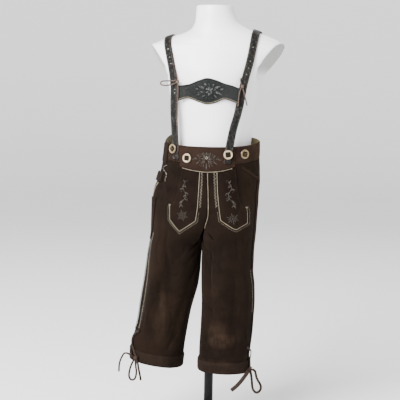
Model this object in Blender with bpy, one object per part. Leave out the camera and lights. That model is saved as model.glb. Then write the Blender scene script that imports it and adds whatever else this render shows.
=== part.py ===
"""Knee-length leather breeches with braces, worn on a limbless dress form on a stand.

Metres, +Z up. The form faces -Y, its own left is +X, and the stand's foot rests on z = 0.
Tables are in millimetres and degrees. On a trouser half the angle is 0 at the outer side,
negative towards the front and positive towards the back.
"""
import bpy
import bmesh
import numpy as np
from math import pi, radians

MM = 0.001
GAP = 0.3                    # between neighbours, at seams and under what is laid on
SIDES = {"right": -1.0, "left": 1.0}

# ---------------------------------------------------------------- driving sizes
SUEDE = 1.8                  # wall of the breeches
BAND_WALL = 2.4              # doubled waistband
APPLIQUE = 1.5               # drop front, leaves, hem bands
WAIST_TOP = 678.0            # row height of the waistband's upper edge
WAIST_SEAM = 640.0
WAIST_PEAK = (9.0, 26.0, 24.0)       # the band stands higher behind the right hip: height,
WAIST_PEAK_FOOT = 652.0              # its angle and width in degrees, and the row it starts from
CROTCH = 440.0
HEM = {"right": 155.0, "left": 145.0}
SLIT_TOP = 222.0
SLIT_GAPE = 4.0              # each side of the slit at the hem
HEM_BAND = 27.0
POWER = 2.2                  # roundness of every trouser section

STRAP_WIDTH = 17.0
STRAP_WALL = 2.2
STRAP_CLEAR = 0.8            # taut straps over the form's facets and the waistband
CHEST_CLEAR = 0.6
THONG = 2.6
LACE = 3.6
HIP_LACE = 2.4

# How far overlays stand off the skin, above the gap: more where they bridge its folds.
OVERLAY_LIFT = {"hem_band": 0.65, "flap_band": 0.2, "leaf": 0.5, "piping": 0.2, "welt": 0.3,
                "knife_pocket": 0.3, "pocket_flap": 0.5, "hip_tab": 0.4, "pocket_welt": 0.4}

# Trouser sections: inner is the centre seam down to the crotch and the inside leg below it,
# wrap goes from 0, a quarter turn from the side to the centre, to 1, a half turn round a leg.
SECTION_COLUMNS = ("z", "inner_right", "outer_right", "inner_left", "outer_left",
                   "wrap", "front", "back", "rise_back", "rise_out")
SECTIONS = (
    (140, -66.5, -187.5, -23.5, 96.5, 1.00, 57, 57, 0.00, 0.14),
    (158, -65.0, -187.8, -23.5, 95.5, 1.00, 57, 57, 0.00, 0.14),
    (179, -62.8, -187.0, -22.5, 95.0, 1.00, 57, 57, 0.00, 0.14),
    (200, -60.2, -183.0, -22.0, 97.5, 1.00, 57, 58, 0.00, 0.12),
    (246, -52.9, -170.3, -20.0, 102.0, 1.00, 60, 61, 0.00, 0.090),
    (285, -45.8, -165.2, -18.2, 103.8, 1.00, 64, 64, 0.00, 0.070),
    (312, -38.0, -161.0, -18.3, 104.5, 1.00, 66, 66, 0.00, 0.050),
    (345, -29.5, -156.0, -19.3, 103.5, 1.00, 68, 70, 0.00, 0.020),
    (380, -25.2, -151.4, -20.2, 99.2, 1.00, 70, 74, 0.00, 0.000),
    (414, -23.8, -146.3, -20.3, 99.5, 1.00, 72, 79, 0.00, 0.000),
    (440, -21.1, -142.2, -20.4, 101.0, 1.00, 75, 84, 0.00, 0.000),
    (450, -16.0, -141.0, -16.0, 102.0, 0.92, 77, 86, 0.00, 0.000),
    (465, -10.0, -138.8, -10.0, 103.0, 0.78, 80, 89, 0.00, 0.000),
    (490, -1.0, -138.0, -1.0, 104.5, 0.53, 86, 94.5, 0.00, 0.000),
    (515, 6.5, -138.0, 6.5, 106.0, 0.28, 90, 98.5, 0.00, 0.000),
    (540, 7.5, -137.8, 7.5, 107.5, 0.12, 93, 101, 0.00, 0.000),
    (565, 7.0, -135.0, 7.0, 108.0, 0.04, 94.5, 101.5, 0.01, 0.000),
    (590, 5.5, -125.0, 5.5, 110.0, 0.00, 94, 100, 0.03, 0.000),
    (615, 4.0, -118.0, 4.0, 109.5, 0.00, 92, 97, 0.06, 0.000),
    (640, 3.0, -114.0, 3.0, 108.0, 0.00, 90, 92, 0.10, 0.000),
    (690, 2.0, -108.5, 2.0, 108.0, 0.00, 88, 86, 0.11, 0.000),
)

# Side seams run just in front of the outer side; the right one turns forward at the slit.
SEAM_COLUMNS = ("z", "right", "left")
SIDE_SEAMS = ((140, -50, -12), (160, -47, -12), (185, -36, -12), (210, -24, -12),
              (235, -15, -12), (300, -12, -12), (690, -12, -12))

# Largest folds: each is a soft trough (minus) or ridge (plus) across the skin.
FOLD_COLUMNS = ("side", "angle_top", "angle_end", "z_top", "z_end", "width", "depth")
FOLDS = (
    ("right", -100, -84, 455, 240, 14, -5.5),
    ("right", -70, -60, 430, 220, 13, 3.5),
    ("right", -150, -128, 400, 190, 13, -4.5),
    ("right", -40, -32, 400, 215, 12, -3.5),
    ("left", -128, -118, 440, 250, 13, -5.5),
    ("left", -96, -84, 430, 185, 14, 3.5),
    ("left", -62, -72, 420, 165, 13, -4.5),
    ("left", -35, -42, 400, 210, 11, 3.0),
    ("right", 60, 78, 470, 230, 15, -5.5),
    ("right", 105, 112, 450, 185, 14, 4.5),
    ("right", 150, 128, 400, 220, 13, -4.0),
    ("left", 62, 70, 470, 210, 15, 4.5),
    ("left", 100, 118, 450, 200, 14, -5.5),
    ("left", 30, 36, 560, 420, 13, -4.0),
    ("right", 32, 40, 560, 400, 13, -4.0),
    ("left", 80, 60, 600, 480, 12, -3.5),
    ("right", 76, 62, 600, 480, 12, -3.5),
)

# Limbless form: from its axis to its right, its left and its front. The left shoulder is higher.
FORM_COLUMNS = ("z", "right", "left", "depth")
FORM_SECTIONS = (
    (556, 10, 10, 8), (560, 52, 52, 40), (568, 76, 76, 58), (585, 88, 87, 66),
    (620, 91, 88, 69), (660, 92, 88, 70), (708, 94, 89.5, 70), (740, 97, 95, 71),
    (770, 100, 99.5, 72), (810, 106, 106, 72), (835, 124, 124, 70), (860, 146, 150, 65),
    (880, 156, 168, 61), (893, 152, 170, 57), (899, 139, 160, 55), (906, 122, 147, 53),
    (914, 100, 129, 50), (920, 78, 114, 48), (926, 63, 97, 46.5), (931, 55, 81, 46),
    (937, 50, 69, 45), (943, 47, 60, 44.5), (953, 44.5, 52, 44), (966, 43.5, 45.5, 43.5),
    (984, 42.5, 40.5, 42),
)
# The arm cuts run straight from the shoulders' tips down to the arm pits and face forward a
# little: each goes further in at the front. The turn fades in above the arm pit.
ARM_CUT_TIP = {"right": (150.0, 897.0), "left": (154.5, 897.0)}
ARM_CUT_PIT = (106.5, 824.0)
ARM_CUT_TURN = 0.35                  # how much further out for each step to the back
ARM_CUT_FADE = (800.0, 845.0)
POLE_RADIUS = 10.5
POLE_TOP = 555.7
FOOT_RADIUS = 118.0
FOOT_WALL = 9.0

# Straps: x across the body at each height, from the shoulder down.
STRAP_COLUMNS = ("z", "front_right", "front_left", "back_right", "back_left")
STRAPS = (
    (620, -70, 46.5, -34, 34), (660, -72, 51, -38, 38), (705, -75.5, 58, -46, 46),
    (750, -79, 69, -58, 58), (807, -81, 78, -74, 74), (862, -91, 90.5, -90, 88),
    (905, -101.5, 96.5, -101, 95), (925, -104, 97.5, -104, 97.5),
)
BAND_SEEN_TOP = 665.0        # the waistband's front is read no higher than this
STRAP_END = {"front_right": 638.0, "front_left": 632.0, "back_right": 640.0, "back_left": 640.0}

CHEST_COLUMNS = ("x", "top", "bottom")
CHEST_STRAP = (
    (-70, 803, 768), (-47, 806, 774.5), (-22, 815.5, 767), (-2, 821, 762),
    (18, 816.5, 766), (38, 809, 774), (52, 805.5, 770.5), (70.5, 799, 763.5),
)

# Drop front, as x and z seen from the front.
FLAP_EDGE = {"right": -60.5, "left": 65.0}
FLAP_TOP = 667.0
FLAP_CURVE_COLUMNS = ("x", "z")
FLAP_CURVE = ((-60.5, 622.5), (-28, 616.5), (2, 614), (30, 616), (65, 624.5))
# Leaves: the two long edges, row by row. The point hangs below the last row: where it is from
# the inner edge to the outer one, how far it drops, and how far the outer corner drops.
LEAF_COLUMNS = ("z", "inner_x", "outer_x")
LEAVES = {
    "right": ((610, -14, -56), (570, -15, -62), (545, -16.5, -68.5), (533, -17.5, -80),
              (502.5, -22.3, -79.5)),
    "left": ((610, 28, 67), (570, 30.5, 72), (545, 33, 78.5), (533, 34.5, 89.5), (506, 38, 89.5)),
}
LEAF_POINT = {"right": (0.635, 25.0, 0.0), "left": (0.60, 21.4, 8.0)}
LEAF_BELOW = 3.4             # from the drop front's lower edge to the leaves' upper ones

BUTTONS = {      # x, z, and what lies under it: how far the button stands off the skin
    "button_waist_right": (-75.5, 661, 4.1, "front"),
    "button_flap_right": (-41.7, 642, 2.4, "front"),
    "button_flap_left": (48, 652, 6.2, "front"),
    "button_waist_left": (82.5, 653, 0.5, "front"),
    "button_back_right": (-37, 655, 4.0, "back"),
    "button_back_left": (37, 655, 4.0, "back"),
}

COLOURS = {
    "suede": ((0.030, 0.018, 0.012), 0.95),
    "band": ((0.034, 0.018, 0.013), 0.9),
    "piping": ((0.42, 0.34, 0.22), 0.7),
    "strap": ((0.022, 0.030, 0.026), 0.5),
    "horn": ((0.70, 0.60, 0.40), 0.35),
    "thong": ((0.16, 0.085, 0.05), 0.7),
    "form": ((0.78, 0.78, 0.77), 0.45),
    "stand": ((0.02, 0.02, 0.022), 0.35),
}


# ---------------------------------------------------------------- tables and curves
def column(rows, names, name):
    """One named column of a table as an array."""
    place = names.index(name)
    return np.array([row[place] for row in rows], dtype=float)


def smooth(at, knots, values):
    """Monotone cubic through the knots (rising), read at the given places."""
    at = np.clip(np.asarray(at, dtype=float), knots[0], knots[-1])
    step = np.diff(knots)
    slope = np.diff(values) / step
    tangent = np.empty_like(values)
    tangent[0], tangent[-1] = slope[0], slope[-1]
    before, after = slope[:-1], slope[1:]
    weight_a = 2 * step[1:] + step[:-1]
    weight_b = step[1:] + 2 * step[:-1]
    same = before * after > 0
    safe_before = np.where(same, before, 1.0)
    safe_after = np.where(same, after, 1.0)
    mean = (weight_a + weight_b) / (weight_a / safe_before + weight_b / safe_after)
    tangent[1:-1] = np.where(same, mean, 0.0)
    k = np.clip(np.searchsorted(knots, at, side="right") - 1, 0, len(step) - 1)
    t = (at - knots[k]) / step[k]
    rise = values[k + 1] - values[k]
    a = tangent[k] * step[k]
    b = tangent[k + 1] * step[k]
    return values[k] + t * (a + t * ((3 * rise - 2 * a - b) + t * (a + b - 2 * rise)))


def read(rows, names, key, name, at):
    """Table column `name` against column `key`, smoothly."""
    return smooth(at, column(rows, names, key), column(rows, names, name))


def section(name, z):
    return read(SECTIONS, SECTION_COLUMNS, "z", name, z)


def side_seam(side, z):
    return read(SIDE_SEAMS, SEAM_COLUMNS, "z", side, z)


# ---------------------------------------------------------------- the trouser skin
def leg_section(side, z):
    """Centre and half width of the section at row height z."""
    inner = section("inner_" + side, z) + SIDES[side] * GAP / 2
    outer = section("outer_" + side, z)
    wrap = section("wrap", z)
    half = np.abs(outer - inner) / (1 + wrap)
    return inner + SIDES[side] * wrap * half, half


def seam_angle(side, z):
    """How far from the outer side the section runs, in degrees, to the centre or inside seam."""
    wrap = section("wrap", z)
    turn = 180.0 - np.degrees(np.arccos(np.clip(wrap, 0, 1) ** (POWER / 2)))
    inset = np.degrees(GAP / 2 / section("front", z)) * wrap ** 4
    return turn - inset


def fold_height(side, angle, z):
    """Sum of the folds: each a bell across its own slanted line, fading at both ends."""
    total = np.zeros(np.broadcast(angle, z).shape)
    for fold in FOLDS:
        row = dict(zip(FOLD_COLUMNS, fold))
        if row["side"] != side:
            continue
        along = (row["z_top"] - z) / (row["z_top"] - row["z_end"])
        middle = row["angle_top"] + (row["angle_end"] - row["angle_top"]) * along
        fade = np.clip(1 - (2 * along - 1) ** 2, 0, 1) ** 0.75
        total = total + row["depth"] * fade * np.exp(-((angle - middle) / row["width"]) ** 2)
    return total


def bare_skin(side, angle, z):
    """Points of the skin: a rounded section, the folds added straight out from its middle."""
    centre, half = leg_section(side, z)
    depth = np.where(angle < 0, section("front", z), section("back", z))
    c, s = np.cos(np.radians(angle)), np.sin(np.radians(angle))
    across = np.sign(c) * np.abs(c) ** (2 / POWER)
    along = np.sign(s) * np.abs(s) ** (2 / POWER)
    bulge = 1 + fold_height(side, angle, z) / np.minimum(half, depth)
    x = centre + SIDES[side] * half * across * bulge
    y = depth * along * bulge
    out = np.abs(x - centre) * np.sign(SIDES[side] * (x - centre))
    height = z + section("rise_back", z) * y + section("rise_out", z) * out * (side == "right")
    return np.stack(np.broadcast_arrays(x, y, height), axis=-1)


def skin_frame(side, angle, z):
    """Skin points and unit normals pointing out."""
    angle, z = np.broadcast_arrays(np.asarray(angle, float), np.asarray(z, float))
    turn, step = 1.2, 1.0
    point = bare_skin(side, angle, z)
    du = bare_skin(side, angle + turn, z) - bare_skin(side, angle - turn, z)
    dv = bare_skin(side, angle, z + step) - bare_skin(side, angle, z - step)
    normal = np.cross(du, dv) * SIDES[side]
    normal /= np.linalg.norm(normal, axis=-1, keepdims=True)
    return point, normal


def skin(side, angle, z, lift=0.0):
    point, normal = skin_frame(side, angle, z)
    return point + normal * np.asarray(lift)[..., None]


def face_on(x, z, lift, face="front"):
    """Skin point seen straight on at x and z, from the front or the back, moved out."""
    x, z = np.broadcast_arrays(np.asarray(x, float), np.asarray(z, float))
    sign = -1.0 if face == "front" else 1.0
    row = z.copy()
    result = None
    for _ in range(4):
        parts = {}
        for side in SIDES:
            centre, half = leg_section(side, row)
            reach = np.clip(SIDES[side] * (x - centre) / half, -0.999, 0.999)
            turn = np.degrees(np.arccos(np.sign(reach) * np.abs(reach) ** (POWER / 2)))
            parts[side] = skin_frame(side, sign * turn, row)
        mine = (x >= section("inner_left", row))[..., None]
        point = np.where(mine, parts["left"][0], parts["right"][0])
        normal = np.where(mine, parts["left"][1], parts["right"][1])
        row = row + (z - point[..., 2])
        result = point + normal * np.asarray(lift, float)[..., None]
    return result


# ---------------------------------------------------------------- solids
def add_object(name, verts, faces, finish):
    mesh = bpy.data.meshes.new(name)
    mesh.from_pydata([tuple(p) for p in np.asarray(verts) * MM], [], faces)
    shape = bmesh.new()
    shape.from_mesh(mesh)
    bmesh.ops.recalc_face_normals(shape, faces=shape.faces)
    if shape.calc_volume(signed=True) < 0:
        bmesh.ops.reverse_faces(shape, faces=shape.faces)
    shape.to_mesh(mesh)
    shape.free()
    mesh.shade_smooth()
    mesh.set_sharp_from_angle(angle=radians(40))
    mesh.materials.append(FINISHES[finish])
    thing = bpy.data.objects.new(name, mesh)
    bpy.context.scene.collection.objects.link(thing)
    return thing


def grid_faces(rows, cols, start, ring):
    """Quads over a grid of points numbered row by row from start; ring joins its last column."""
    faces = []
    for i in range(rows - 1):
        for j in range(cols if ring else cols - 1):
            k = (j + 1) % cols
            faces.append((start + i * cols + j, start + i * cols + k,
                          start + (i + 1) * cols + k, start + (i + 1) * cols + j))
    return faces


def sheet_solid(name, outer, inner, finish, ring=False):
    """Closed solid between two grids of points with the same layout."""
    rows, cols = outer.shape[:2]
    count = rows * cols
    faces = grid_faces(rows, cols, 0, ring)
    faces += [tuple(reversed(face)) for face in grid_faces(rows, cols, count, ring)]
    last = (rows - 1) * cols
    for j in range(cols if ring else cols - 1):
        k = (j + 1) % cols
        faces.append((k, j, count + j, count + k))
        faces.append((last + j, last + k, count + last + k, count + last + j))
    if not ring:
        for i in range(rows - 1):
            a, b = i * cols, (i + 1) * cols
            faces.append((a, b, count + b, count + a))
            a, b = a + cols - 1, b + cols - 1
            faces.append((b, a, count + a, count + b))
    verts = np.concatenate([outer.reshape(-1, 3), inner.reshape(-1, 3)])
    return add_object(name, verts, faces, finish)


def stack_solid(name, rings, finish):
    """Closed solid through rings of points, its two ends closed with fans."""
    rings = np.asarray(rings)
    rows, cols = rings.shape[:2]
    faces = grid_faces(rows, cols, 0, True)
    verts = np.concatenate([rings.reshape(-1, 3), rings[0].mean(0)[None], rings[-1].mean(0)[None]])
    low, high = rows * cols, rows * cols + 1
    for j in range(cols):
        k = (j + 1) % cols
        faces.append((low, k, j))
        faces.append((high, (rows - 1) * cols + j, (rows - 1) * cols + k))
    return add_object(name, verts, faces, finish)


def turned(name, profile, centre, across, up, finish, steps=14):
    """Profile of (radius, height) turned about the axis `up`."""
    axis = np.asarray(up, float) / np.linalg.norm(up)
    side = np.asarray(across, float) - axis * np.dot(across, axis)
    side /= np.linalg.norm(side)
    third = np.cross(axis, side)
    turn = np.linspace(0, 2 * pi, steps, endpoint=False)[:, None]
    rim = np.cos(turn) * side + np.sin(turn) * third
    rings = [np.asarray(centre) + radius * rim + height * axis for radius, height in profile]
    return stack_solid(name, rings, finish)


# ---------------------------------------------------------------- breeches
def row_heights(side):
    """Row heights of the panels: close together round the crotch, wider down the leg."""
    upper = [WAIST_SEAM - GAP / 2, 618, 596, 574, 552, 530, 510, 492, 476, 463, 453, 446]
    low = HEM[side] + HEM_BAND
    lower = CROTCH + (low + 20.0 - CROTCH) * np.linspace(0, 1, 9)
    return np.array(upper + list(lower) + [low + 7.0] + list(band_heights(side)))


def band_heights(side):
    return HEM[side] + np.array([HEM_BAND, HEM_BAND / 2, 0.0])


def slit_inset(side, z):
    """Half the gap at the outer seam, in degrees: a seam above, gaping below the slit's top."""
    open_share = np.clip((SLIT_TOP - z) / (SLIT_TOP - HEM[side]), 0, 1)
    width = GAP / 2 + (SLIT_GAPE - GAP / 2) * open_share ** 0.8
    return np.degrees(width / leg_section(side, z)[1])


def panel_angles(side, face, z, count):
    """Angles of a panel's columns on each row, from its centre or inside seam to its side."""
    inset = slit_inset(side, z)
    far = seam_angle(side, z)
    seam = side_seam(side, z)
    if face == "front":
        start, end = -far, seam - inset
    else:
        start, end = seam + inset, far
    share = np.linspace(0, 1, count)
    return start[:, None] + (end - start)[:, None] * share


PANEL_COLUMNS = {"front": 13, "back": 14}


def panels():
    for side in SIDES:
        z = row_heights(side)
        for face in ("front", "back"):
            angle = panel_angles(side, face, z, PANEL_COLUMNS[face])
            outer = skin(side, angle, z[:, None], np.zeros(angle.shape))
            inner = skin(side, angle, z[:, None], np.full(angle.shape, -SUEDE))
            sheet_solid(face + "_" + side, outer, inner, "suede")


def band_row(side, angle, z):
    """Row heights of the waistband, raised towards its top behind the right hip."""
    rise, middle, width = WAIST_PEAK
    share = np.clip((z - WAIST_PEAK_FOOT) / (WAIST_TOP - WAIST_PEAK_FOOT), 0, 1)
    return z + (side == "right") * rise * share * np.exp(-((angle - middle) / width) ** 2)


def waistband():
    z = np.array([WAIST_TOP, 669.0, 655.0, WAIST_SEAM + GAP / 2])
    for side in SIDES:
        far = seam_angle(side, z)
        share = np.linspace(-1, 1, 29)
        angle = far[:, None] * share
        row = band_row(side, angle, z[:, None])
        outer = skin(side, angle, row, np.zeros(angle.shape))
        inner = skin(side, angle, row, np.full(angle.shape, -BAND_WALL))
        sheet_solid("waistband_" + side, outer, inner, "band")


def hem_bands():
    for side in SIDES:
        z = band_heights(side)
        front = panel_angles(side, "front", z, PANEL_COLUMNS["front"])
        back = panel_angles(side, "back", z, PANEL_COLUMNS["back"])
        # from the slit round the back and the inside leg to the slit's other edge
        inseam = np.full((len(z), 1), 180.0)
        angle = np.concatenate([back[:, :-1], inseam, front[:, 1:]], axis=1)
        lift = np.full(angle.shape, GAP + OVERLAY_LIFT["hem_band"])
        outer = skin(side, angle, z[:, None], lift + APPLIQUE)
        inner = skin(side, angle, z[:, None], lift)
        sheet_solid("hem_band_" + side, outer, inner, "band")


def flap_band():
    x = np.linspace(FLAP_EDGE["right"], FLAP_EDGE["left"], 19)
    low = read(FLAP_CURVE, FLAP_CURVE_COLUMNS, "x", "z", x)
    share = np.linspace(0, 1, 6)[:, None]
    z = FLAP_TOP + (low - FLAP_TOP) * share
    x = np.broadcast_to(x, z.shape)
    lift = np.full(z.shape, GAP + OVERLAY_LIFT["flap_band"])
    sheet_solid("flap_band", face_on(x, z, lift + APPLIQUE), face_on(x, z, lift), "band")


def leaf_grid(side, rows=12, cols=9):
    """Leaf points: straight across between the long edges, the point fading upwards."""
    table = LEAVES[side][::-1]
    top, end = table[-1][0], table[0][0]
    share = np.linspace(0, 1, rows)[:, None]
    z = top + (end - top) * share
    inner = np.interp(z, column(table, LEAF_COLUMNS, "z"), column(table, LEAF_COLUMNS, "inner_x"))
    outer = np.interp(z, column(table, LEAF_COLUMNS, "z"), column(table, LEAF_COLUMNS, "outer_x"))
    u = np.linspace(0, 1, cols)[None, :]
    x = inner + (outer - inner) * u
    peak, drop, outer_drop = LEAF_POINT[side]
    point = np.interp(u, (0, peak, 1), (0, drop, outer_drop))
    above = read(FLAP_CURVE, FLAP_CURVE_COLUMNS, "x", "z", x) - LEAF_BELOW - top
    return x, z - point * share ** 2.5 + above * (1 - share) ** 3


def leaf(side):
    x, z = leaf_grid(side)
    lift = np.full(z.shape, GAP + OVERLAY_LIFT["leaf"])
    sheet_solid("leaf_" + side, face_on(x, z, lift + APPLIQUE), face_on(x, z, lift), "suede")


def edge_cord(name, x, z, sides=6):
    """Round piping along a line on the skin, seen from the front."""
    middle = face_on(x, z, np.full(x.shape, PIPING_LIFT))
    raised = face_on(x, z, np.full(x.shape, PIPING_LIFT + 1.0))
    return tube(name, middle, raised - middle, PIPING_RADIUS, "piping", sides)


def tube(name, middle, normal, radius, finish, sides=6):
    """Round solid along `middle`, its rings turned to the given normals."""
    along = np.gradient(middle, axis=0)
    along /= np.linalg.norm(along, axis=1, keepdims=True)
    across = np.cross(along, normal)
    across /= np.linalg.norm(across, axis=1, keepdims=True)
    up = np.cross(across, along)
    turn = (np.arange(sides) + 0.5) * 2 * pi / sides
    rings = (middle[:, None] + radius * (np.cos(turn)[None, :, None] * across[:, None]
                                         + np.sin(turn)[None, :, None] * up[:, None]))
    return stack_solid(name, rings, finish)


def resample(line, count):
    """Points at equal spacing along a polyline."""
    line = np.asarray(line, float)
    run = np.concatenate([[0], np.cumsum(np.linalg.norm(np.diff(line, axis=0), axis=1))])
    at = np.linspace(0, run[-1], count)
    return np.stack([np.interp(at, run, line[:, k]) for k in range(line.shape[1])], axis=1)


PIPING_RADIUS = 0.65
PIPING_OUT = 1.6             # from a leaf's edge to the middle of its piping
PIPING_BELOW = 1.8           # from the drop front's lower edge to the middle of its piping
PIPING_IN = 6.5              # its ends stop short of the drop front's sides
PIPING_LIFT = PIPING_RADIUS + GAP + OVERLAY_LIFT["piping"]
CENTRE_PIPING = (609.5, 484.0)       # upper and lower end, beside the centre seam
CENTRE_PIPING_OUT = 1.2


def moved_out(line, distance):
    """A flat line moved to its right by a distance, its corners mitred."""
    run = np.diff(line, axis=0)
    run /= np.linalg.norm(run, axis=1, keepdims=True)
    right = np.stack([run[:, 1], -run[:, 0]], axis=1)
    before = np.concatenate([right[:1], right])
    after = np.concatenate([right, right[-1:]])
    middle = before + after
    middle /= np.linalg.norm(middle, axis=1, keepdims=True)
    spread = np.sum(middle * before, axis=1, keepdims=True)
    return line + middle * distance / np.maximum(spread, 0.5)


def pipings():
    x = np.linspace(FLAP_EDGE["right"] + PIPING_IN, FLAP_EDGE["left"] - PIPING_IN, 20)
    z = read(FLAP_CURVE, FLAP_CURVE_COLUMNS, "x", "z", x) - PIPING_BELOW
    edge_cord("piping_flap", x, z)
    for side in SIDES:
        x, z = leaf_grid(side)
        edge = np.concatenate([
            np.stack([x[:, 0], z[:, 0]], axis=1),
            np.stack([x[-1, 1:-1], z[-1, 1:-1]], axis=1),
            np.stack([x[:, -1], z[:, -1]], axis=1)[:-5:-1]])
        edge = moved_out(edge, SIDES[side] * PIPING_OUT)
        edge_cord("piping_leaf_" + side, edge[:, 0], edge[:, 1])


# Raised strips beside the outer seams: side, top, lower end, how far in front of the seam at
# the top and at the end in degrees, and finish.
WELTS = {"side_welt_left": ("left", 606.0, 226.0, 0.0, 0.0, "suede"),
         "side_welt_right": ("right", 443.0, 226.0, 0.0, 0.0, "suede"),
         "side_welt_right_top": ("right", 582.0, 551.0, 14.0, 6.0, "piping")}
WELT_HALF = 1.8
WELT_WALL = 1.2


def flat_bar(name, side, angle, z, half_up, half_turn, lift, wall, finish):
    """Flat strip along (angle, z) on the skin, widened along the height or round the leg."""
    turn = np.degrees(half_turn / leg_section(side, z)[1])
    rows = []
    for edge, height in ((1, 0.0), (1, wall), (-1, wall), (-1, 0.0)):
        rows.append(skin(side, angle + edge * turn, z + edge * half_up, lift + height))
    return stack_solid(name, np.stack(rows, axis=1), finish)


def side_welts():
    for name, (side, top, end, front_top, front_end, finish) in WELTS.items():
        z = np.linspace(top, end, max(4, int((top - end) / 20)))
        lift = np.full(z.shape, GAP + OVERLAY_LIFT["welt"])
        angle = side_seam(side, z) - np.linspace(front_top, front_end, len(z))
        flat_bar(name, side, angle, z, 0.0, WELT_HALF, lift, WELT_WALL, finish)


def patch_on_side(name, side, angles, heights, lift, wall, finish, rows, cols):
    """Overlay between two angle limits, each a function of the row, and two heights."""
    z = np.linspace(heights[0], heights[1], rows)
    start, end = angles(z)
    share = np.linspace(0, 1, cols)
    angle = start[:, None] + (end - start)[:, None] * share
    low = skin(side, angle, z[:, None], np.full(angle.shape, lift))
    high = skin(side, angle, z[:, None], np.full(angle.shape, lift + wall))
    return sheet_solid(name, high, low, finish)


KNIFE_POCKET = (547.0, 447.0)
POCKET_FLAP = (606.0, 585.0)
HIP_TAB = (676.0, 633.0)
PATCH_WALL = 2.0
POCKET_FLAP_WALL = 4.2               # flap over the pocket's folded top
WELT_TIP_OUT = 4.0                   # the slanted welt's free tip stands out
WELT_ENDS = ((-46.0, 628.0), (-14.0, 596.0))      # angle and height of the slanted pocket welt


def knife_limits(z):
    """The knife pocket narrows to a blunt point over its last 20 mm."""
    taper = np.clip((z - KNIFE_POCKET[1]) / 20.0, 0, 1) ** 0.5
    return -23.0 - 9.0 * taper, -22.0 + 12.0 * taper


def pockets():
    patch_on_side("knife_pocket", "right", knife_limits, KNIFE_POCKET,
                  GAP + OVERLAY_LIFT["knife_pocket"], PATCH_WALL, "suede", 9, 5)
    patch_on_side("pocket_flap_right", "right", lambda z: (0 * z - 34.0, 0 * z - 5.0),
                  POCKET_FLAP, GAP + OVERLAY_LIFT["pocket_flap"], POCKET_FLAP_WALL, "band", 3, 7)
    patch_on_side("hip_tab", "right", lambda z: (0 * z - 35.0, 0 * z - 17.0),
                  HIP_TAB, GAP + OVERLAY_LIFT["hip_tab"], PATCH_WALL, "strap", 6, 3)
    line = resample(WELT_ENDS, 9)
    lift = GAP + OVERLAY_LIFT["pocket_welt"] + WELT_TIP_OUT * np.linspace(0, 1, 9) ** 6
    flat_bar("pocket_welt_left", "left", line[:, 0], line[:, 1], 4.0, 0.0, lift, PATCH_WALL, "band")


def centre_piping():
    """Piping beside the centre seam, from under the drop front's band to the crotch."""
    z = np.linspace(*CENTRE_PIPING, 14)
    x = section("inner_left", z) + CENTRE_PIPING_OUT
    edge_cord("piping_centre", x, z, sides=5)


# ---------------------------------------------------------------- form and stand
def form_half(name, z):
    return read(FORM_SECTIONS, FORM_COLUMNS, "z", name, z)


def form_cut(side, y, z):
    """Largest distance from the axis left by the flat arm cut."""
    (tip_x, tip_z), (pit_x, pit_z) = ARM_CUT_TIP[side], ARM_CUT_PIT
    straight = np.maximum(pit_x + (tip_x - pit_x) * (z - pit_z) / (tip_z - pit_z), pit_x)
    return straight + ARM_CUT_TURN * y * np.interp(z, ARM_CUT_FADE, (0, 1))


def form_depth(x, z):
    """Half depth of the form at x and z; zero beside it."""
    wide = np.where(np.asarray(x) < 0, form_half("right", z), form_half("left", z))
    return form_half("depth", z) * np.sqrt(1 - np.clip(np.abs(x) / wide, 0, 1) ** 2)


FORM_LEVELS = (556, 559, 563, 570, 585, 620, 660, 708, 750, 785, 810, 824, 840, 856, 872, 886,
               894, 900, 907, 914, 920, 926, 932, 939, 947, 958, 983, 984)


def torso_form():
    turn = np.linspace(0, 2 * pi, 30, endpoint=False)
    rings = []
    for z in FORM_LEVELS:
        c = np.cos(turn)
        x = np.where(c < 0, form_half("right", z), form_half("left", z)) * c
        y = form_half("depth", z) * np.sin(turn)
        x = np.clip(x, -form_cut("right", y, z), form_cut("left", y, z))
        shrink = 0.985 if z == FORM_LEVELS[-1] else 1.0
        rings.append(np.stack([x * shrink, y * shrink, np.full(turn.shape, float(z))], axis=1))
    stack_solid("torso_form", rings, "form")


def stand():
    up, across = (0, 0, 1), (1, 0, 0)
    socket = ((POLE_RADIUS, FOOT_WALL + GAP), (POLE_RADIUS, POLE_TOP))
    turned("stand_pole", socket, (0, 0, 0), across, up, "stand", 20)
    edge = 2.5
    plate = ((FOOT_RADIUS, 0), (FOOT_RADIUS, FOOT_WALL - edge), (FOOT_RADIUS - edge, FOOT_WALL))
    turned("stand_foot", plate, (0, 0, 0), across, up, "stand", 40)


# ---------------------------------------------------------------- braces
def pulled_taut(depth, height):
    """Smallest depths that no straight line between two points of the profile passes."""
    n = len(height)
    best = depth.copy()
    for j in range(n):
        for k in range(j + 2, n):
            t = (height[j + 1:k] - height[j]) / (height[k] - height[j])
            best[j + 1:k] = np.maximum(best[j + 1:k], depth[j] + (depth[k] - depth[j]) * t)
    return best


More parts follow.
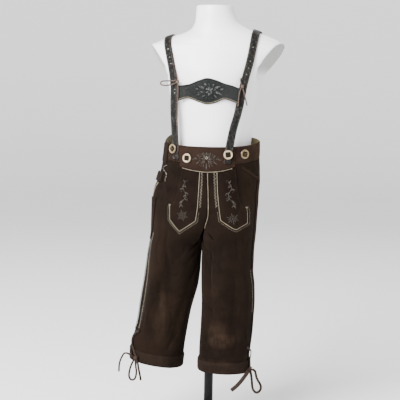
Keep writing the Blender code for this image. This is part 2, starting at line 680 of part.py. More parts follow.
def strap_line(side, face, offset, count=21):
    """One line of a strap from the shoulder's top down to its end: (x, y, z) rows."""
    key = face + "_" + side
    sign = -1.0 if face == "front" else 1.0
    shoulder = read(STRAPS, STRAP_COLUMNS, "z", key, 925.0) + offset
    # height at which the form is as wide as the shoulder point
    probe = np.linspace(895, 940, 450)
    wide = form_half(side, probe)
    top = float(np.interp(-abs(shoulder), -wide, probe))
    share = np.linspace(0, 1, count)
    z = top - (top - STRAP_END[key]) * share ** 2
    x = read(STRAPS, STRAP_COLUMNS, "z", key, z) + offset
    rest = form_depth(x, z)
    under = GAP
    if key == "front_left":          # this end lies on the drop front's band
        under += GAP + OVERLAY_LIFT["leaf"] + OVERLAY_LIFT["flap_band"] + APPLIQUE
    on_band = np.abs(face_on(x, np.minimum(z, BAND_SEEN_TOP), np.full(z.shape, under), face)[:, 1])
    depth = np.where(z < WAIST_TOP - 1.0, np.maximum(rest, on_band), rest)
    depth = pulled_taut(depth, z)
    lean = np.gradient(depth, z)
    normal = np.stack([np.zeros(count), np.ones(count), -lean], axis=1)
    normal /= np.linalg.norm(normal, axis=1, keepdims=True)
    normal[0] = (0, 0, 1)
    line = np.stack([x, sign * (depth + normal[:, 1] * STRAP_CLEAR),
                     z + normal[:, 2] * STRAP_CLEAR], axis=1)
    line[0] = (x[0], 0.0, z[0] + STRAP_CLEAR)
    return line


def strap(side):
    """Whole strap: three lines run from the back button over the shoulder to the front one."""
    half = STRAP_WIDTH / 2
    lines = []
    for offset in (-half, 0.0, half):
        back = strap_line(side, "back", offset)
        front = strap_line(side, "front", offset)
        lines.append(np.concatenate([back[::-1], front[1:]]))
    low = np.stack(lines, axis=1)
    along = np.gradient(low, axis=0)
    across = np.gradient(low, axis=1)
    normal = np.cross(across, along)
    normal /= np.linalg.norm(normal, axis=-1, keepdims=True)
    middle = len(low) // 2
    if normal[middle, 1, 2] < 0:
        normal = -normal
    sheet_solid("brace_" + side, low + normal * STRAP_WALL, low, "strap")


def chest_line(x, z):
    """Depth of the chest strap's inner face: on the form's chest, then straight to the braces."""
    rest = form_depth(x, z)
    over = STRAP_WALL + 2 * GAP
    end = np.array([depth_at_brace("right", z[0]), depth_at_brace("left", z[-1])]) + over
    depth = rest.copy()
    depth[0], depth[-1] = end
    return pulled_taut(depth, x)


def depth_at_brace(side, z):
    line = strap_line(side, "front", -SIDES[side] * STRAP_WIDTH / 2)
    return float(np.interp(-z, -line[:, 2], -line[:, 1]))


def chest_strap():
    x = np.linspace(CHEST_STRAP[0][0], CHEST_STRAP[-1][0], 21)
    top = read(CHEST_STRAP, CHEST_COLUMNS, "x", "top", x)
    low = read(CHEST_STRAP, CHEST_COLUMNS, "x", "bottom", x)
    share = np.linspace(0, 1, 4)[:, None]
    z = top + (low - top) * share
    y = np.stack([-chest_line(x, row) for row in z]) - CHEST_CLEAR
    inner = np.stack([np.broadcast_to(x, z.shape), y, z], axis=-1)
    normal = np.cross(np.gradient(inner, axis=1), np.gradient(inner, axis=0))
    normal /= np.linalg.norm(normal, axis=-1, keepdims=True)
    normal = np.where(normal[..., 1:2] > 0, -normal, normal)
    sheet_solid("chest_strap", inner + normal * STRAP_WALL, inner, "strap")


# ---------------------------------------------------------------- buttons
# Radius and height from the back to the dished face: 22 mm across, 4 mm thick.
BUTTON_PROFILE = ((6.0, 0.0), (9.6, 0.6), (11.0, 1.9), (10.6, 3.2), (8.6, 4.0), (6.9, 3.3), (3.5, 3.2))


def buttons():
    for name, (x, z, lift, face) in BUTTONS.items():
        foot = face_on(np.array([x]), np.array([z]), np.array([lift]), face)[0]
        tip = face_on(np.array([x]), np.array([z]), np.array([lift + 1.0]), face)[0]
        turned(name, BUTTON_PROFILE, foot, (1, 0, 0), tip - foot, "horn")


# ---------------------------------------------------------------- laces, thongs and knots
KNOT_CLEAR = 0.5             # a flat cord end off its knot's round face
# Middle and half sizes of each knot.
KNOTS = {
    "knot_lace_right": ((-163.2, -56.8, 171.5), (5.0, 3.6, 4.6)),
    "knot_lace_left": ((100.2, -16.2, 152.5), (4.4, 4.4, 4.8)),
    "knot_thong_right": ((-71.5, -65.4, 811.0), (4.2, 3.0, 4.6)),
    "knot_thong_left": ((75.5, -69.8, 803.5), (4.6, 3.2, 4.4)),
}
# Ties lie on the leg: side, diameter, how far the middle is off the skin, knot at the end, and
# the angle and row height of each point.
TIES = {
    "lace_right_tie": ("right", LACE, 4.6, "knot_lace_right", (
        (-48, 231), (-44, 226), (-39, 221), (-34, 215), (-30, 208),
        (-30, 201), (-34, 194), (-40, 188), (-46, 183), (-52, 179))),
    "lace_left_tie": ("left", LACE, 4.6, "knot_lace_left", (
        (-30, 206), (-24, 203), (-16, 199), (-7, 194), (-1, 189),
        (1, 183), (-2, 177), (-7, 170), (-10, 164))),
    "hip_lace": ("right", HIP_LACE, 1.7, None, (
        (-37, 627), (-34, 625), (-31, 622), (-28.5, 618.5), (-29.5, 615),
        (-33, 612.5), (-37, 610), (-40, 606), (-41, 600), (-40, 594), (-41, 588))),
}
# Free cords: diameter, the knots that the first and last end come out of, and x, y and z.
CORDS = {
    "lace_right_loop": (LACE, "knot_lace_right", "knot_lace_right", (
        (-169, -57.5, 165), (-172, -58.5, 156), (-175.5, -59.5, 145), (-177.5, -60, 133),
        (-176.5, -59.5, 124), (-171.5, -59, 119), (-165, -58.5, 121), (-161.5, -58, 129),
        (-160.5, -58, 140), (-162, -58.5, 152), (-163.5, -58, 164))),
    "lace_right_end": (LACE, "knot_lace_right", None, (
        (-158.5, -60.5, 165), (-156, -62.2, 158), (-154.5, -62.4, 149), (-152.8, -61, 139),
        (-151, -59.5, 129), (-149.5, -58.5, 119))),
    "lace_right_free": (LACE, "knot_lace_right", None, (
        (-170, -57.5, 174.5), (-175.5, -58.5, 178), (-181.5, -57, 180.5), (-187.5, -54, 180.5),
        (-193, -51, 177.5), (-197.5, -49, 170.5), (-201.5, -47, 162), (-204.5, -46, 152),
        (-205.5, -45.5, 142), (-205.5, -45.5, 133))),
    "lace_left_loop": (LACE, "knot_lace_left", "knot_lace_left", (
        (101.5, -16.5, 145), (103, -16.5, 138), (104.2, -16, 130), (105.3, -16, 120),
        (106.5, -16, 109.5), (109.5, -16, 101.5), (115, -16, 97), (121, -16, 98.5),
        (125.5, -16, 104.5), (126.3, -16, 112), (123.5, -16, 119), (119, -16, 126),
        (115.6, -16, 133), (113.6, -16, 141), (111.6, -16, 147.5), (106.5, -16.2, 151.4))),
    "lace_left_strip": (4.4, "knot_lace_left", None, (
        (99.6, -22.5, 153.5), (98.2, -29.5, 150.5), (94.5, -37, 144.5), (89.5, -42, 137),
        (83.5, -45.5, 129), (77, -47.5, 121), (70, -48.5, 114), (62, -49, 107))),
    "thong_right_loop": (THONG, "knot_thong_right", "knot_thong_right", (
        (-77, -65.5, 808), (-84, -65.3, 805.5), (-91, -65.6, 803.5), (-98, -66.1, 802.5),
        (-105, -66.1, 803), (-110, -65.6, 805.3), (-110, -64.6, 809.8), (-105, -64.1, 812.3),
        (-98, -64.1, 812.8), (-91, -64.1, 813), (-84, -64.3, 813.5), (-77, -64.9, 814))),
    "thong_right_end": (THONG, "knot_thong_right", None, (
        (-70.0, -67.5, 805), (-69.0, -70.4, 797), (-68.5, -71.5, 788), (-68.8, -72.1, 775),
        (-69.2, -72.1, 760), (-69.5, -72.5, 745), (-69.5, -73.5, 730), (-69.5, -74.7, 712))),
    "thong_left_inner": (THONG, "knot_thong_left", None, (
        (72.6, -72.6, 798), (71.6, -75.8, 791), (70.6, -77, 784), (69.8, -77.6, 776),
        (69.2, -78.1, 767), (69, -78.1, 760))),
    "thong_left_outer": (THONG, "knot_thong_left", None, (
        (78, -70.8, 798), (80, -71.2, 791), (82, -70.8, 784), (84, -70.4, 776),
        (86, -69.6, 768), (87.5, -68.6, 761))),
    "thong_left_top": (THONG, None, "knot_thong_left", (
        (72, -66.4, 822), (71.4, -67.8, 817.5), (72.2, -69, 812.5), (73.6, -69.8, 809.5))),
}


def smooth_route(points, spacing):
    """Even points along a smooth curve (Catmull-Rom) through the route's own points."""
    points = np.asarray(points, float)
    padded = np.concatenate([2 * points[:1] - points[1:2], points, 2 * points[-1:] - points[-2:-1]])
    t = np.linspace(0, 1, 12, endpoint=False)[:, None]
    pieces = []
    for k in range(len(points) - 1):
        a, b, c, d = padded[k:k + 4]
        pieces.append(0.5 * (2 * b + (c - a) * t + (2 * a - 5 * b + 4 * c - d) * t ** 2
                             + (3 * b - a - 3 * c + d) * t ** 3))
    line = np.concatenate(pieces + [points[-1:]])
    length = np.sum(np.linalg.norm(np.diff(line, axis=0), axis=1))
    return resample(line, max(5, int(round(length / spacing)) + 1))


def knot_face(knot, toward):
    """Point just off a knot's round face, on the line from its middle towards a point."""
    middle, half = (np.array(sizes) for sizes in KNOTS[knot])
    way = np.asarray(toward, float) - middle
    return middle + way * (1 / np.linalg.norm(way / half) + KNOT_CLEAR / np.linalg.norm(way))


def seated(points, from_knot, to_knot):
    """The route with its ends brought to the faces of the knots that they come out of."""
    points = np.array(points, float)
    if from_knot:
        points[0] = knot_face(from_knot, points[0])
    if to_knot:
        points[-1] = knot_face(to_knot, points[-1])
    return points


def cord(name, points, diameter, finish="thong"):
    curve = bpy.data.curves.new(name, "CURVE")
    curve.dimensions = "3D"
    curve.bevel_depth = diameter / 2 * MM
    curve.bevel_resolution = 2
    curve.use_fill_caps = True
    route = smooth_route(points, 2.2 * diameter)
    spline = curve.splines.new("POLY")
    spline.points.add(len(route) - 1)
    spline.points.foreach_set("co", np.c_[route * MM, np.ones(len(route))].ravel())
    spline.use_smooth = True
    curve.materials.append(FINISHES[finish])
    thing = bpy.data.objects.new(name, curve)
    bpy.context.scene.collection.objects.link(thing)
    return thing


def laces():
    for name, (side, diameter, lift, to_knot, table) in TIES.items():
        angle, z = np.array(table, float).T
        route = skin(side, angle, z, np.full(z.shape, lift))
        cord(name, seated(route, None, to_knot), diameter)
    for name, (diameter, from_knot, to_knot, points) in CORDS.items():
        cord(name, seated(points, from_knot, to_knot), diameter)
    rise = np.radians([-72, -38, 0, 38, 72])[:, None]
    turn = np.linspace(0, 2 * pi, 10, endpoint=False)
    ball = np.stack([np.cos(rise) * np.cos(turn), np.cos(rise) * np.sin(turn),
                     np.sin(rise) * np.ones(turn.shape)], axis=-1)
    for name, (middle, half) in KNOTS.items():
        stack_solid(name, np.array(middle) + ball * np.array(half), "thong")


# ---------------------------------------------------------------- materials and run
FINISHES = {}


def make_finishes():
    for name, (colour, rough) in COLOURS.items():
        finish = bpy.data.materials.new(name)
        finish.use_nodes = True
        shader = finish.node_tree.nodes["Principled BSDF"]
        shader.inputs["Base Color"].default_value = (*colour, 1.0)
        shader.inputs["Roughness"].default_value = rough
        shader.inputs["Metallic"].default_value = 0.0
        FINISHES[name] = finish


def clear_scene():
    for thing in list(bpy.data.objects):
        bpy.data.objects.remove(thing, do_unlink=True)


def main():
    clear_scene()
    make_finishes()
    torso_form()
    stand()
    panels()
    waistband()
    hem_bands()
    flap_band()
    for side in SIDES:
        leaf(side)
        strap(side)
    pipings()
    centre_piping()
    side_welts()
    pockets()
    chest_strap()
    buttons()
    laces()


main()
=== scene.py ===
"""Looks of knee-length leather breeches with braces, worn on a limbless dress form.

Metres, +Z up, and the form faces -Y. Tables are in millimetres and degrees. On a trouser half
the angle is 0 at the outer side, negative towards the front and positive towards the back.
"""

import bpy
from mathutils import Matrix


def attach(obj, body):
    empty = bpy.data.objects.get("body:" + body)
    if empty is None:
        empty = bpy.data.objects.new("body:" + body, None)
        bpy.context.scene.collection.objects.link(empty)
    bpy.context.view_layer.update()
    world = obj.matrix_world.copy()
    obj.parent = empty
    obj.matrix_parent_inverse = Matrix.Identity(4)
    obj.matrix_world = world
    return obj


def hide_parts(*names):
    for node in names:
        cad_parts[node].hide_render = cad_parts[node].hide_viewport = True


bl_info = {
    "name": "Lederhosen on a dress form",
    "version": (1, 0, 0),
    "blender": (4, 5, 0),
    "location": "View3D > Sidebar > Lederhosen",
    "description": "Builds suede breeches, braces and laces, and the dress form that carries them",
    "category": "Add Mesh",
}

from functools import lru_cache, partial, reduce
from math import cos, pi, radians, sin, tan

import bmesh
import bpy
import numpy as np
from bpy.props import FloatProperty, FloatVectorProperty, PointerProperty
from mathutils import Matrix, Vector

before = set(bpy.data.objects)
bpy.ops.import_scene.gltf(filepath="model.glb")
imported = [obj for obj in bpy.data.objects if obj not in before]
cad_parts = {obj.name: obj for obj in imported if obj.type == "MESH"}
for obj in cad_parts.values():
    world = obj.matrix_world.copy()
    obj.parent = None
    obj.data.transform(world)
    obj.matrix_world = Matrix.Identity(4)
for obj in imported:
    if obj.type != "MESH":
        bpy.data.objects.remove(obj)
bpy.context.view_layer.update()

MM = 0.001
GAP = 0.3
SIDES = {"right": -1.0, "left": 1.0}
FACES = {"front": -1.0, "back": 1.0}


def table(names, *rows):
    """Columns of numbers by name, as arrays, from rows of numbers."""
    return dict(zip(names.split(), np.array(rows, dtype=float).T))


# ---------------- driving sizes
SUEDE = 1.8                  # wall of the breeches
BAND_WALL = 2.4              # doubled waistband
APPLIQUE = 1.5               # drop front, leaves, hem bands
WAIST_TOP = 678.0            # row height of the waistband's upper edge
WAIST_SEAM = 640.0
WAIST_PEAK = (9.0, 26.0, 24.0)       # the band stands higher behind the right hip: height,
WAIST_PEAK_FOOT = 652.0              # its angle and width in degrees, and the row it starts from
HEM = {"right": 155.0, "left": 145.0}
SLIT_TOP = 222.0
SLIT_GAPE = 4.0              # each side of the slit at the hem
HEM_BAND = 27.0
HEM_SEAM = 3.2               # row of stitches below the hem band's upper edge
WAIST_SEAMS = (4.5, 4.0)     # rows of stitches inside the waistband's upper and lower edge
POWER = 2.2                  # roundness of every trouser section

STRAP_WIDTH = 17.0
STRAP_WALL = 2.2
STRAP_CLEAR = 0.8            # taut straps over the form's facets and the waistband
CHEST_CLEAR = 0.6

# How far the underside of each overlay stands off the skin: more where it bridges the folds.
LIFT = {name: GAP + more for name, more in (
    ("hem_band", 0.65), ("flap_band", 0.2), ("leaf", 0.5), ("piping", 0.2), ("welt", 0.3),
    ("knife_pocket", 0.3), ("pocket_flap", 0.5), ("hip_tab", 0.4), ("pocket_welt", 0.4))}

# Trouser sections: inner is the centre seam down to the crotch and the inside leg below it,
# wrap goes from 0, a quarter turn from the side to the centre, to 1, a half turn round a leg.
SECTIONS = table(
    "z inner_right outer_right inner_left outer_left wrap front back rise_back rise_out",
    (140, -66.5, -187.5, -23.5, 96.5, 1, 57, 57, 0, 0.14),
    (158, -65, -187.8, -23.5, 95.5, 1, 57, 57, 0, 0.14),
    (179, -62.8, -187, -22.5, 95, 1, 57, 57, 0, 0.14),
    (200, -60.2, -183, -22, 97.5, 1, 57, 58, 0, 0.12),
    (246, -52.9, -170.3, -20, 102, 1, 60, 61, 0, 0.09),
    (285, -45.8, -165.2, -18.2, 103.8, 1, 64, 64, 0, 0.07),
    (312, -38, -161, -18.3, 104.5, 1, 66, 66, 0, 0.05),
    (345, -29.5, -156, -19.3, 103.5, 1, 68, 70, 0, 0.02),
    (380, -25.2, -151.4, -20.2, 99.2, 1, 70, 74, 0, 0),
    (414, -23.8, -146.3, -20.3, 99.5, 1, 72, 79, 0, 0),
    (440, -21.1, -142.2, -20.4, 101, 1, 75, 84, 0, 0),
    (450, -16, -141, -16, 102, 0.92, 77, 86, 0, 0),
    (465, -10, -138.8, -10, 103, 0.78, 80, 89, 0, 0),
    (490, -1, -138, -1, 104.5, 0.53, 86, 94.5, 0, 0),
    (515, 6.5, -138, 6.5, 106, 0.28, 90, 98.5, 0, 0),
    (540, 7.5, -137.8, 7.5, 107.5, 0.12, 93, 101, 0, 0),
    (565, 7, -135, 7, 108, 0.04, 94.5, 101.5, 0.01, 0),
    (590, 5.5, -125, 5.5, 110, 0, 94, 100, 0.03, 0),
    (615, 4, -118, 4, 109.5, 0, 92, 97, 0.06, 0),
    (640, 3, -114, 3, 108, 0, 90, 92, 0.10, 0),
    (690, 2, -108.5, 2, 108, 0, 88, 86, 0.11, 0),
)

# Side seams run just in front of the outer side; the right one turns forward at the slit.
SIDE_SEAMS = table("z right left", (140, -50, -12), (160, -47, -12), (185, -36, -12),
                   (210, -24, -12), (235, -15, -12), (300, -12, -12), (690, -12, -12))

# Largest folds: each is a soft trough (minus) or ridge (plus) across the skin, from an angle and
# row at its top to those at its end, with its width in degrees and its depth.
FOLDS = {
    "right": ((-100, -84, 455, 240, 14, -5.5), (-70, -60, 430, 220, 13, 3.5),
        (-150, -128, 400, 190, 13, -4.5), (-40, -32, 400, 215, 12, -3.5),
        (60, 78, 470, 230, 15, -5.5), (105, 112, 450, 185, 14, 4.5),
        (150, 128, 400, 220, 13, -4.0), (32, 40, 560, 400, 13, -4.0), (76, 62, 600, 480, 12, -3.5)),
    "left": ((-128, -118, 440, 250, 13, -5.5), (-96, -84, 430, 185, 14, 3.5),
        (-62, -72, 420, 165, 13, -4.5), (-35, -42, 400, 210, 11, 3.0), (62, 70, 470, 210, 15, 4.5),
        (100, 118, 450, 200, 14, -5.5), (30, 36, 560, 420, 13, -4.0), (80, 60, 600, 480, 12, -3.5)),
}

# Limbless form: from its axis to its right, its left and its front. The left shoulder is higher.
FORM_SECTIONS = table(
    "z right left depth",
    (556, 10, 10, 8), (560, 52, 52, 40), (568, 76, 76, 58), (585, 88, 87, 66),
    (620, 91, 88, 69), (660, 92, 88, 70), (708, 94, 89.5, 70), (740, 97, 95, 71),
    (770, 100, 99.5, 72), (810, 106, 106, 72), (835, 124, 124, 70), (860, 146, 150, 65),
    (880, 156, 168, 61), (893, 152, 170, 57), (899, 139, 160, 55), (906, 122, 147, 53),
    (914, 100, 129, 50), (920, 78, 114, 48), (926, 63, 97, 46.5), (931, 55, 81, 46),
    (937, 50, 69, 45), (943, 47, 60, 44.5), (953, 44.5, 52, 44), (966, 43.5, 45.5, 43.5),
    (984, 42.5, 40.5, 42),
)
# The arm cuts run straight from the shoulders' tips down to the arm pits and face forward a
# little: each goes further in at the front. The turn fades in above the arm pit.
ARM_CUT_TIP = {"right": (150.0, 897.0), "left": (154.5, 897.0)}
ARM_CUT_PIT = (106.5, 824.0)
ARM_CUT_TURN = 0.35                  # how much further out for each step to the back
ARM_CUT_FADE = (800.0, 845.0)
POLE_RADIUS = 10.5
POLE_TOP = 555.7
FOOT_RADIUS = 118.0
FOOT_WALL = 9.0

# Straps: x across the body at each height, from the shoulder down.
STRAPS = table(
    "z front_right front_left back_right back_left",
    (620, -70, 46.5, -34, 34), (660, -72, 51, -38, 38), (705, -75.5, 58, -46, 46),
    (750, -79, 69, -58, 58), (807, -81, 78, -74, 74), (862, -91, 90.5, -90, 88),
    (905, -101.5, 96.5, -101, 95), (925, -104, 97.5, -104, 97.5),
)
BAND_SEEN_TOP = 665.0        # the waistband's front is read no higher than this
STRAP_END = {"front_right": 638.0, "front_left": 632.0, "back_right": 640.0, "back_left": 640.0}

CHEST_STRAP = table(
    "x top bottom",
    (-70, 803, 768), (-47, 806, 774.5), (-22, 815.5, 767), (-2, 821, 762),
    (18, 816.5, 766), (38, 809, 774), (52, 805.5, 770.5), (70.5, 799, 763.5),
)

# Drop front, as x and z seen from the front.
FLAP_EDGE = {"right": -60.5, "left": 65.0}
FLAP_TOP = 667.0
FLAP_CURVE = table("x z", (-60.5, 622.5), (-28, 616.5), (2, 614), (30, 616), (65, 624.5))
# Leaves: the two long edges, row by row upwards. The point hangs below the first row: where it
# is from the inner edge to the outer one, how far it drops, and how far the outer corner drops.
LEAVES = {
    "right": table("z inner outer", (502.5, -22.3, -79.5), (533, -17.5, -80), (545, -16.5, -68.5),
                   (570, -15, -62), (610, -14, -56)),
    "left": table("z inner outer", (506, 38, 89.5), (533, 34.5, 89.5), (545, 33, 78.5),
                  (570, 30.5, 72), (610, 28, 67)),
}
LEAF_POINT = {"right": (0.635, 25.0, 0.0), "left": (0.60, 21.4, 8.0)}
LEAF_BELOW = 3.4             # from the drop front's lower edge to the leaves' upper ones

# Buttons: x, z, how far the button stands off the skin, its face, and its turn in degrees.
BUTTONS = {
    "button_waist_right": (-75.5, 661, 4.1, "front", 38.0),
    "button_flap_right": (-41.7, 642, 2.4, "front", 2.0),
    "button_flap_left": (48, 652, 6.2, "front", -8.0),
    "button_waist_left": (82.5, 653, 0.5, "front", 12.0),
    "button_back_right": (-37, 655, 4.0, "back", 20.0),
    "button_back_left": (37, 655, 4.0, "back", -14.0),
}


# ---------------- tables and curves
def smooth(at, knots, values):
    """Monotone cubic through the knots (rising), read at the given places."""
    at = np.clip(np.asarray(at, dtype=float), knots[0], knots[-1])
    step = np.diff(knots)
    slope = np.diff(values) / step
    tangent = np.empty_like(values)
    tangent[0], tangent[-1] = slope[0], slope[-1]
    before, after = slope[:-1], slope[1:]
    weight_a = 2 * step[1:] + step[:-1]
    weight_b = step[1:] + 2 * step[:-1]
    same = before * after > 0
    safe_before = np.where(same, before, 1.0)
    safe_after = np.where(same, after, 1.0)
    mean = (weight_a + weight_b) / (weight_a / safe_before + weight_b / safe_after)
    tangent[1:-1] = np.where(same, mean, 0.0)
    k = np.clip(np.searchsorted(knots, at, side="right") - 1, 0, len(step) - 1)
    t = (at - knots[k]) / step[k]
    rise = values[k + 1] - values[k]
    a = tangent[k] * step[k]
    b = tangent[k + 1] * step[k]
    return values[k] + t * (a + t * ((3 * rise - 2 * a - b) + t * (a + b - 2 * rise)))


def section(name, z):
    return smooth(z, SECTIONS["z"], SECTIONS[name])


def side_seam(side, z):
    return smooth(z, SIDE_SEAMS["z"], SIDE_SEAMS[side])


def flap_low(x):
    """Height of the drop front's lower edge."""
    return smooth(x, FLAP_CURVE["x"], FLAP_CURVE["z"])


# ---------------- arrays
def bell(away, width):
    return np.exp(-(away / width) ** 2)


def joined(*parts):
    """Numbers side by side along a new last axis, broadcast to each other."""
    return np.stack(np.broadcast_arrays(*parts), axis=-1)


def unit(vectors):
    """Vectors of length 1 along the last axis."""
    return vectors / np.maximum(np.linalg.norm(vectors, axis=-1, keepdims=True), 1e-9)


def heading(degrees):
    return np.array([cos(radians(degrees)), sin(radians(degrees))])


def circle(count, first=0.0):
    """Angles evenly round a circle, in radians; first is the first one's place in steps."""
    return (np.arange(count) + first) * 2 * pi / count


def around(turn, a, b):
    """Points round an ellipse with the half axes a and b, one for each angle."""
    return np.cos(turn)[:, None] * a[..., None, :] + np.sin(turn)[:, None] * b[..., None, :]


def run_along(line):
    """Length of a polyline from its start to each of its points."""
    return np.concatenate([[0], np.cumsum(np.linalg.norm(np.diff(line, axis=0), axis=1))])


def length_of(line):
    return float(np.linalg.norm(np.diff(line, axis=0), axis=1).sum())


# ---------------- the trouser skin
def leg_section(side, z):
    """Centre and half width of the section at row height z."""
    inner = section("inner_" + side, z) + SIDES[side] * GAP / 2
    outer = section("outer_" + side, z)
    wrap = section("wrap", z)
    half = np.abs(outer - inner) / (1 + wrap)
    return inner + SIDES[side] * wrap * half, half


def seam_angle(side, z):
    """How far from the outer side the section runs, in degrees, to the centre or inside seam."""
    wrap = section("wrap", z)
    turn = 180.0 - np.degrees(np.arccos(np.clip(wrap, 0, 1) ** (POWER / 2)))
    inset = np.degrees(GAP / 2 / section("front", z)) * wrap ** 4
    return turn - inset


def fold_height(side, angle, z):
    """Sum of the folds: each a bell across its own slanted line, fading at both ends."""
    total = np.zeros(np.broadcast(angle, z).shape)
    for angle_top, angle_end, z_top, z_end, width, depth in FOLDS[side]:
        along = (z_top - z) / (z_top - z_end)
        middle = angle_top + (angle_end - angle_top) * along
        fade = np.clip(1 - (2 * along - 1) ** 2, 0, 1) ** 0.75
        total = total + depth * fade * bell(angle - middle, width)
    return total


def bare_skin(side, angle, z):
    """Points of the skin: a rounded section, the folds added straight out from its middle."""
    centre, half = leg_section(side, z)
    depth = np.where(angle < 0, section("front", z), section("back", z))
    c, s = np.cos(np.radians(angle)), np.sin(np.radians(angle))
    across = np.sign(c) * np.abs(c) ** (2 / POWER)
    along = np.sign(s) * np.abs(s) ** (2 / POWER)
    relief = fold_height(side, angle, z) + crease_height(side, angle, z)
    bulge = 1 + relief / np.minimum(half, depth)
    x = centre + SIDES[side] * half * across * bulge
    y = depth * along * bulge
    out = np.abs(x - centre) * np.sign(SIDES[side] * (x - centre))
    height = z + section("rise_back", z) * y + section("rise_out", z) * out * (side == "right")
    return joined(x, y, height)


def skin_frame(side, angle, z):
    """Skin points and unit normals pointing out."""
    angle, z = np.broadcast_arrays(np.asarray(angle, float), np.asarray(z, float))
    turn, step = 1.2, 1.0
    point = bare_skin(side, angle, z)
    du = bare_skin(side, angle + turn, z) - bare_skin(side, angle - turn, z)
    dv = bare_skin(side, angle, z + step) - bare_skin(side, angle, z - step)
    normal = np.cross(du, dv) * SIDES[side]
    normal /= np.linalg.norm(normal, axis=-1, keepdims=True)
    return point, normal


def skin(side, angle, z, lift):
    point, normal = skin_frame(side, angle, z)
    return point + normal * np.asarray(lift)[..., None]


def face_on(x, z, lift, face="front"):
    """Skin point seen straight on at x and z, from the front or the back, moved out."""
    x, z = np.broadcast_arrays(np.asarray(x, float), np.asarray(z, float))
    sign = FACES[face]
    row = z
    for _ in range(4):
        parts = {}
        for side in SIDES:
            centre, half = leg_section(side, row)
            reach = np.clip(SIDES[side] * (x - centre) / half, -0.999, 0.999)
            turn = np.degrees(np.arccos(np.sign(reach) * np.abs(reach) ** (POWER / 2)))
            parts[side] = skin_frame(side, sign * turn, row)
        mine = (x >= section("inner_left", row))[..., None]
        point = np.where(mine, parts["left"][0], parts["right"][0])
        normal = np.where(mine, parts["left"][1], parts["right"][1])
        row = row + (z - point[..., 2])
        result = point + normal * np.asarray(lift, float)[..., None]
    return result


# ---------------- meshes from arrays
def grid_quads(rows, cols, ring=False):
    """Quads of a grid numbered row by row; a ring joins its last column to its first."""
    i, j = np.meshgrid(np.arange(rows - 1), np.arange(cols if ring else cols - 1), indexing="ij")
    k = (j + 1) % cols
    quads = joined(i * cols + j, i * cols + k, (i + 1) * cols + k, (i + 1) * cols + j)
    return quads.reshape(-1, 4)


def shell_quads(rows, cols):
    """Quads of a closed wall between two like grids, the second grid numbered after the first."""
    count = rows * cols
    number = np.arange(count).reshape(rows, cols)
    rims = (number[0], number[-1][::-1], number[::-1, 0], number[:, -1])
    walls = [joined(rim[1:], rim[:-1], rim[:-1] + count, rim[1:] + count) for rim in rims]
    skin_quads = grid_quads(rows, cols)
    return np.concatenate([skin_quads, skin_quads[:, ::-1] + count] + walls)


def placed(name, data):
    """A new object in the scene, with its mesh, camera or light."""
    made = bpy.data.objects.new(name, data)
    bpy.context.scene.collection.objects.link(made)
    return made


def make_piece(name, points, quads, finishes, node=None, uv=None, values=None, pick=None):
    """A closed mesh piece that rides on the part and may stand for one of its nodes.

    Points are in millimetres, and the faces are turned outwards. uv is one pair for each point,
    values a dict of one number for each point, and pick the finish of each face.
    """
    mesh = bpy.data.meshes.new(name)
    mesh.from_pydata((np.asarray(points) * MM).tolist(), [], np.asarray(quads).tolist())
    for finish in finishes if isinstance(finishes, (list, tuple)) else [finishes]:
        mesh.materials.append(finish)
    if pick is not None:
        mesh.polygons.foreach_set("material_index", np.asarray(pick, dtype=np.int32))
    if uv is not None:
        corners = np.empty(len(mesh.loops), dtype=np.int32)
        mesh.loops.foreach_get("vertex_index", corners)
        layer = mesh.uv_layers.new(name="UVMap")
        layer.data.foreach_set("uv", np.asarray(uv, dtype=np.float32)[corners].ravel())
    for key, numbers in (values or {}).items():
        layer = mesh.attributes.new(key, "FLOAT", "POINT")
        layer.data.foreach_set("value", np.asarray(numbers, dtype=np.float32).ravel())
    shape = bmesh.new()
    shape.from_mesh(mesh)
    bmesh.ops.recalc_face_normals(shape, faces=shape.faces)
    if shape.calc_volume(signed=True) < 0:
        bmesh.ops.reverse_faces(shape, faces=shape.faces)
    shape.to_mesh(mesh)
    shape.free()
    mesh.shade_smooth()
    mesh.set_sharp_from_angle(angle=radians(50))
    piece = placed(name, mesh)
    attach(piece, "root")
    if node:
        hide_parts(node)
    return piece


def wall(node, kind, outer, inner, finishes, uv=None, values=None, lined=False):
    """Closed wall between two grids of points; lined gives the inner grid the second finish."""
    rows, cols = outer.shape[:2]
    quads = shell_quads(rows, cols)
    points = np.concatenate([outer.reshape(-1, 3), inner.reshape(-1, 3)])
    both = None if uv is None else np.tile(uv.reshape(-1, 2), (2, 1))
    twice = {key: np.tile(np.ravel(numbers), 2) for key, numbers in (values or {}).items()}
    pick = None
    if lined:
        pick = np.zeros(len(quads), dtype=np.int32)
        span = (rows - 1) * (cols - 1)
        pick[span:2 * span] = 1
    return make_piece(f"{node}_{kind}", points, quads, finishes, node, both, twice, pick)


def loft_quads(rings, sides):
    """Quads round a tube of rings, its two ends closed by quads across each end ring."""
    body = grid_quads(rings, sides, ring=True)
    k = np.arange(sides // 2 - 1)
    cap = joined(k, k + 1, sides - 2 - k, sides - 1 - k)
    return np.concatenate([body, cap, cap[:, ::-1] + (rings - 1) * sides])


def loft(name, rings, finish, node=None, uv=None, values=None):
    """Closed tube through rings of points (rings, sides, 3); sides is even."""
    count, sides = rings.shape[:2]
    return make_piece(name, rings.reshape(-1, 3), loft_quads(count, sides), finish, node,
                      None if uv is None else uv.reshape(-1, 2), values)


def many(name, rings, finish):
    """Many like closed tubes joined in one piece: rings is (tubes, rings, sides, 3)."""
    tubes, count, sides = rings.shape[:3]
    quads = loft_quads(count, sides)
    shift = np.arange(tubes)[:, None, None] * count * sides
    return make_piece(name, rings.reshape(-1, 3), (quads[None] + shift).reshape(-1, 4), finish)


